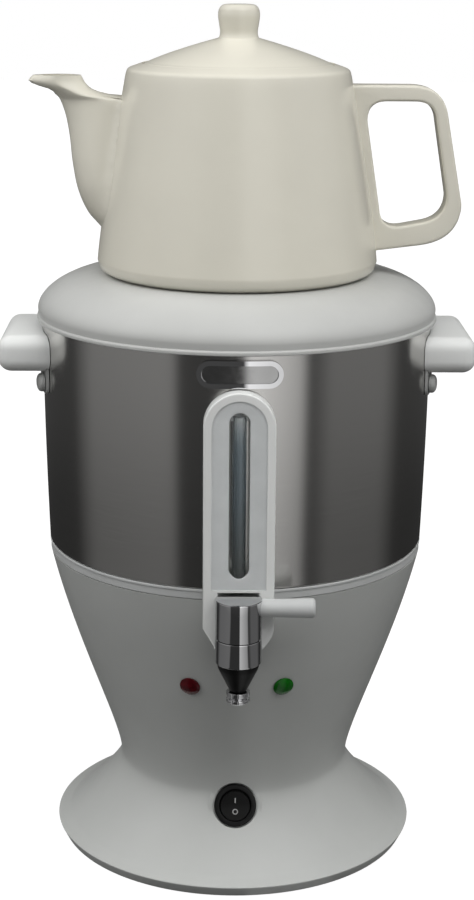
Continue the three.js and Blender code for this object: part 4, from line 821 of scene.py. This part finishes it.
def spout_row(share):
    """The spout's row at a share of its height, eased between the given ones."""
    upper = next((i for i, row in enumerate(SPOUT_ROWS) if row[0] >= share), len(SPOUT_ROWS) - 1)
    i = max(upper - 1, 0)
    a, b = SPOUT_ROWS[i], SPOUT_ROWS[i + 1]
    before, after = SPOUT_ROWS[max(i - 1, 0)], SPOUT_ROWS[min(i + 2, len(SPOUT_ROWS) - 1)]
    run = b[0] - a[0]
    t = (share - a[0]) / run
    made = [share]
    for k in range(1, 5):
        slope_a = (b[k] - before[k]) / (b[0] - before[0]) * run
        slope_b = (after[k] - a[k]) / (after[0] - a[0]) * run
        blend = (2 * t**3 - 3 * t**2 + 1) * a[k] + (t**3 - 2 * t**2 + t) * slope_a
        blend += (-2 * t**3 + 3 * t**2) * b[k] + (t**3 - t**2) * slope_b
        made.append(blend)
    return made


def spout_skin(thinner, low, high, above=0):
    """The spout between two shares of its height, drawn in by a wall, its end lifted above."""

    def place(along, round_share):
        share = low + (high - low) * min(along * 1.02, 1)
        up, outer, inner, width, point = spout_row(share)
        far, near = -SPOUT_REACH * outer + thinner, -SPOUT_REACH * inner - thinner
        turn = 2 * math.pi * round_share
        drawn = 1 - point * max(math.cos(turn), 0)
        lift = above if along > 0.985 else 0
        return Vector(
            (
                (far + near) / 2 + (far - near) / 2 * math.cos(turn),
                (SPOUT_HALF_WIDTH * width - thinner) * math.sin(turn) * drawn,
                SPOUT_BOTTOM + SPOUT_HEIGHT * share + lift,
            )
        )

    return bent_sheet(56, 96, place)


def flared_to_pot(mesh, spread):
    """Widens the spout in a hollow curve where it runs into the pot's side."""
    side = pot_side(64)
    for vertex in mesh.verts:
        x, y, z = vertex.co
        wall = min(side, key=lambda row: abs(row[1] - z))[0]
        near = 0.8 * (1 - min(max((math.hypot(x, y) - wall) / spread, -0.1), 1))
        vertex.co.y += math.copysign(spread * (1 - math.sqrt(1 - near**2)), y) if abs(y) > 0.01 else 0
    return mesh


def loop_points(rows, count):
    """Even steps round a closed outline."""
    closed = rows + rows[:1]
    lengths = [math.dist(a, b) for a, b in zip(closed, closed[1:])]
    total, made, i, past = sum(lengths), [], 0, 0
    for step in range(count):
        goal = total * step / count
        while past + lengths[i] < goal:
            past += lengths[i]
            i += 1
        share = (goal - past) / lengths[i]
        made.append(tuple(a + (b - a) * share for a, b in zip(closed[i], closed[i + 1])))
    return made


LOOP_HALF = 7.3  # half the loop handle's width


def pot_loop():
    """The loop handle: an outer and an inner outline bridged, thickened and rounded."""
    outer = [
        (56, 331.8),
        (72, 333.2),
        (97, 336.3),
        *curve([(97, 336.3), (118.4, 338.9), (119.3, 358)], 12)[1:],
        *curve([(110.3, 406), (107.1, 420.7), (91, 420.7)], 12),
        (52, 420.7),
    ]
    inner = [
        (88, 346.8),
        *curve([(98, 348.6), (111, 350.9), (110.9, 363)], 10),
        *curve([(104.3, 402), (103.4, 412.3), (93, 412.3)], 10),
        *curve([(78, 412.3), (67.6, 412.3), (68, 402)], 10),
        *curve([(75.4, 356), (76.2, 344.7), (88, 346.8)], 10)[:-1],
    ]
    mesh = bmesh.new()
    edges = []
    for rows in (outer, inner):
        points = [mesh.verts.new((x, -LOOP_HALF, z)) for x, z in loop_points(rows, 150)]
        edges += [mesh.edges.new(pair) for pair in zip(points, points[1:] + points[:1])]
    bmesh.ops.bridge_loops(mesh, edges=edges)
    made = bmesh.ops.extrude_face_region(mesh, geom=mesh.faces[:], use_keep_orig=True)["geom"]
    moved = [v for v in made if isinstance(v, bmesh.types.BMVert)]
    bmesh.ops.translate(mesh, verts=moved, vec=(0, 2 * LOOP_HALF, 0))
    clean(mesh)
    sharp = math.radians(60)
    rims = [e for e in mesh.edges if len(e.link_faces) == 2 and e.calc_face_angle(0) > sharp]
    return round_edges(mesh, rims, 3, 7)


def pot_side(steps=32):
    """The teapot's outer side, from its foot to its shoulder."""
    return curve([(75, 328), (73.2, 350), (59.6, 424.4)], steps)


def strainer_hole(across, height):
    place = Matrix.Translation((0, across, height)) @ turned_by(-90, "Y")
    return placed(rod(2.4, 40, 76, 24), place)


def make_teapot():
    foot = [
        (0, 323.9),
        (61, 323.9, 0.5),
        (62, 321.5, 0.4),
        (69.8, 321.5, 0.8),
        (73.5, 323.5, 1.5),
        (75, 328),
    ]
    shoulder = [(59.6, 424.4), (58.6, 428.4, 1.8), (50.6, 431.2, 0.6), (0, 431.2)]
    outside = eased(foot) + pot_side()[1:] + eased(shoulder)[1:]
    mouth = eased([(54.0, 424), (46.4, 423.2, 1), (46.4, 427.8, 0.4), (50.6, 427.8)])[1:]
    inner_side = beside(pot_side(), 4.2)
    inside = [(0, 328.3), (61, 328.3), *inner_side, *mouth, (50.6, 437), (0, 437)]
    hull = spun(outside)
    channel = carved(spout_skin(3, 0.09, 1, 5), cuts=[spun(outside)])
    holes = [
        strainer_hole(across, height) for across in (-7.5, 0, 7.5) for height in (364.25, 371.75)
    ]
    joins = [flared_to_pot(spout_skin(0, 0, 1), 6), pot_loop()]
    body = carved(hull, joins=joins, cuts=[spun(inside), channel, *holes])
    nodes = ("teapot_body", "teapot_spout", "teapot_handle")
    piece("teapot_porcelain", body, "teapot", porcelain, "pot_porcelain", *nodes, crease=55)


def make_lid():
    dome = curve([(48.4, 431.5), (35, 437.5), (10.6, 444.2)], 16)
    knob = [(10.0, 445.4, 1), (9.8, 447.4, 1.2), (11.2, 456.4, 2.4), (9.8, 461.4, 3.4), (0, 461.4)]
    outline = (
        eased([(45.9, 428.1), (50, 428.1, 0.3), (50, 431.2, 1.2), dome[0]])[:-1]
        + dome
        + eased([dome[-1], *knob])[1:]
        + [(0, 440.8), (12, 440.0), (42.9, 429.3), (42.9, 418.4)]
        + eased([(42.9, 418.1), (45.9, 418.1, 0.6), (45.9, 428.1)])
    )
    body = spun(outline)
    piece("teapot_lid_porcelain", body, "lid", porcelain, "pot_porcelain", "teapot_lid")


# Studio


CAMERA_AWAY = 1.008  # from the boiler's axis, in metres
CAMERA_HEIGHT = 0.4923


def make_camera():
    data = bpy.data.cameras.new("camera")
    data.lens, data.sensor_width = 75.4, 36
    made = bpy.data.objects.new("camera", data)
    side = math.radians(1.0)
    made.location = (
        -CAMERA_AWAY * math.sin(side),
        AXIS_Y / 1000 - CAMERA_AWAY * math.cos(side),
        CAMERA_HEIGHT,
    )
    made.rotation_mode = "QUATERNION"
    facing = turned_by(-1.04, "Z") @ turned_by(90 - 15.07, "X") @ turned_by(0.45, "Z")
    made.rotation_quaternion = facing.to_quaternion()
    scene.collection.objects.link(made)
    scene.camera = made


def floor_finish():
    """Pale floor: white to the lens with the samovar's shadow on it, grey to what it lights."""
    finish = Finish("studio_floor", Roughness=0.8)
    finish.colour(finish.grain(0.3), (0.12, 0.12, 0.12), (0.14, 0.14, 0.14))
    nodes, links = finish.nodes, finish.links
    glow = nodes.new("ShaderNodeEmission")
    glow.inputs["Color"].default_value = (1, 1, 1, 1)
    glow.inputs["Strength"].default_value = 0.97
    add = nodes.new("ShaderNodeAddShader")
    mix = nodes.new("ShaderNodeMixShader")
    out = nodes["Material Output"]
    links.new(finish.shader.outputs[0], add.inputs[0])
    links.new(glow.outputs[0], add.inputs[1])
    links.new(seen_or_shiny(nodes, links), mix.inputs[0])
    links.new(finish.shader.outputs[0], mix.inputs[1])
    links.new(add.outputs[0], mix.inputs[2])
    links.new(mix.outputs[0], out.inputs["Surface"])
    return finish.look


def make_floor():
    mesh = bmesh.new()
    bmesh.ops.create_grid(mesh, x_segments=1, y_segments=1, size=6)
    floor = holder("studio_floor", mesh)
    floor.data.materials.append(floor_finish())


# Screens that shine in the metal. The four angles, in degrees from the front, are where a screen's
# soft edge begins, where its face begins and ends, and where its other edge ends.
# The last two numbers are its brightness at either end of its face.
SCREENS = [
    (-104, -88, -36, -31, 0.24, 0.28),
    (3, 5, 34, 39, 1, 0.55),
    (40, 52, 88, 104, 0.2, 0.2),
]
BETWEEN_SCREENS = 0.06


def screen_stops():
    """The ramp of the screens, over one turn round the samovar."""
    dark = BETWEEN_SCREENS
    made = [(-180, dark)]
    for begins, face, face_ends, ends, first, last in SCREENS:
        made += [(begins, dark), (face, first), (face_ends, last), (ends, dark)]
    made.append((180, dark))
    return [((angle + 180) / 360, (shine, shine, shine)) for angle, shine in made]


def make_walls():
    """Round studio screens with light and dark panels, seen only in shiny surfaces."""
    mesh = bmesh.new()
    bmesh.ops.create_cone(mesh, cap_ends=True, segments=96, radius1=0.62, radius2=0.62, depth=2.4)
    bmesh.ops.translate(mesh, verts=mesh.verts[:], vec=(0, AXIS_Y / 1000, 1.201))
    wall = holder("studio_wall", mesh)
    look = bpy.data.materials.new("studio_wall")
    look.use_nodes = True
    nodes, links = look.node_tree.nodes, look.node_tree.links
    nodes.clear()
    place = nodes.new("ShaderNodeTexCoord")
    split = nodes.new("ShaderNodeSeparateXYZ")
    flip = nodes.new("ShaderNodeMath")
    flip.operation = "MULTIPLY"
    flip.inputs[1].default_value = -1
    turn = nodes.new("ShaderNodeMath")
    turn.operation = "ARCTAN2"
    share = map_range(nodes, From_Min=-math.pi, From_Max=math.pi, To_Min=0, To_Max=1)
    ramp = nodes.new("ShaderNodeValToRGB")
    fill_ramp(ramp, screen_stops())
    to_top = map_range(nodes, From_Min=0.9, From_Max=2.3, To_Min=1, To_Max=0.1)
    to_floor = map_range(nodes, From_Min=0.02, From_Max=0.14, To_Min=0.5, To_Max=1)
    both = nodes.new("ShaderNodeMath")
    both.operation = "MULTIPLY"
    glow = nodes.new("ShaderNodeEmission")
    out = nodes.new("ShaderNodeOutputMaterial")
    links.new(place.outputs["Object"], split.inputs[0])
    for fade, socket in zip((to_top, to_floor), both.inputs):
        links.new(split.outputs["Z"], fade.inputs["Value"])
        links.new(fade.outputs["Result"], socket)
    links.new(both.outputs[0], glow.inputs["Strength"])
    links.new(split.outputs["Y"], flip.inputs[0])
    links.new(split.outputs["X"], turn.inputs[0])
    links.new(flip.outputs[0], turn.inputs[1])
    links.new(turn.outputs[0], share.inputs["Value"])
    links.new(share.outputs["Result"], ramp.inputs["Fac"])
    links.new(ramp.outputs["Color"], glow.inputs["Color"])
    links.new(glow.outputs[0], out.inputs["Surface"])
    wall.data.materials.append(look)
    wall.visible_camera = wall.visible_diffuse = False
    wall.visible_shadow = wall.visible_transmission = False


# Four soft lamps of one size: swing from the front and height in degrees, and power.
LAMPS = {
    "softbox_rear_left": (-105, 45, 12),
    "softbox_left": (-60, 38, 12.5),
    "softbox_front": (24, 60, 22),
    "softbox_right": (70, 36, 11.5),
}
LAMP_SIZE = 1.5
LAMP_AWAY = 1.9


def make_world():
    """White to the lens and in what shines, dim where it only lights."""
    world = bpy.data.worlds.new("studio")
    scene.world = world
    world.use_nodes = True
    nodes, links = world.node_tree.nodes, world.node_tree.links
    back = nodes["Background"]
    level = map_range(nodes, To_Min=0.22, To_Max=1.0)
    links.new(seen_or_shiny(nodes, links), level.inputs["Value"])
    links.new(level.outputs["Result"], back.inputs["Strength"])
    back.inputs["Color"].default_value = (1, 1, 1, 1)


def make_lamps_of_studio():
    middle = Vector((0, AXIS_Y / 1000, 0.25))
    for name, (swing, height, energy) in LAMPS.items():
        data = bpy.data.lights.new(name, "AREA")
        data.size, data.energy = LAMP_SIZE, energy
        lamp = bpy.data.objects.new(name, data)
        way = turned_by(swing, "Z") @ turned_by(-height, "X") @ Vector((0, -1, 0))
        lamp.location = middle + LAMP_AWAY * way
        lamp.rotation_mode = "QUATERNION"
        lamp.rotation_quaternion = way.to_track_quat("Z", "Y")
        lamp.visible_glossy = False
        scene.collection.objects.link(lamp)


scene.view_settings.view_transform = "Standard"
dress_cad_nodes()
make_pedestal()
make_seal()
make_boiler()
make_gauge_housing()
make_gauge_lens()
make_tap_body()
make_turret()
make_tap_cone()
make_tap_tip()
make_lever()
make_plaque()
make_lamps()
make_switch()
make_rocker()
make_handles()
make_rivets()
make_cover()
make_teapot()
make_lid()
make_floor()
make_walls()
make_world()
make_lamps_of_studio()
make_camera()
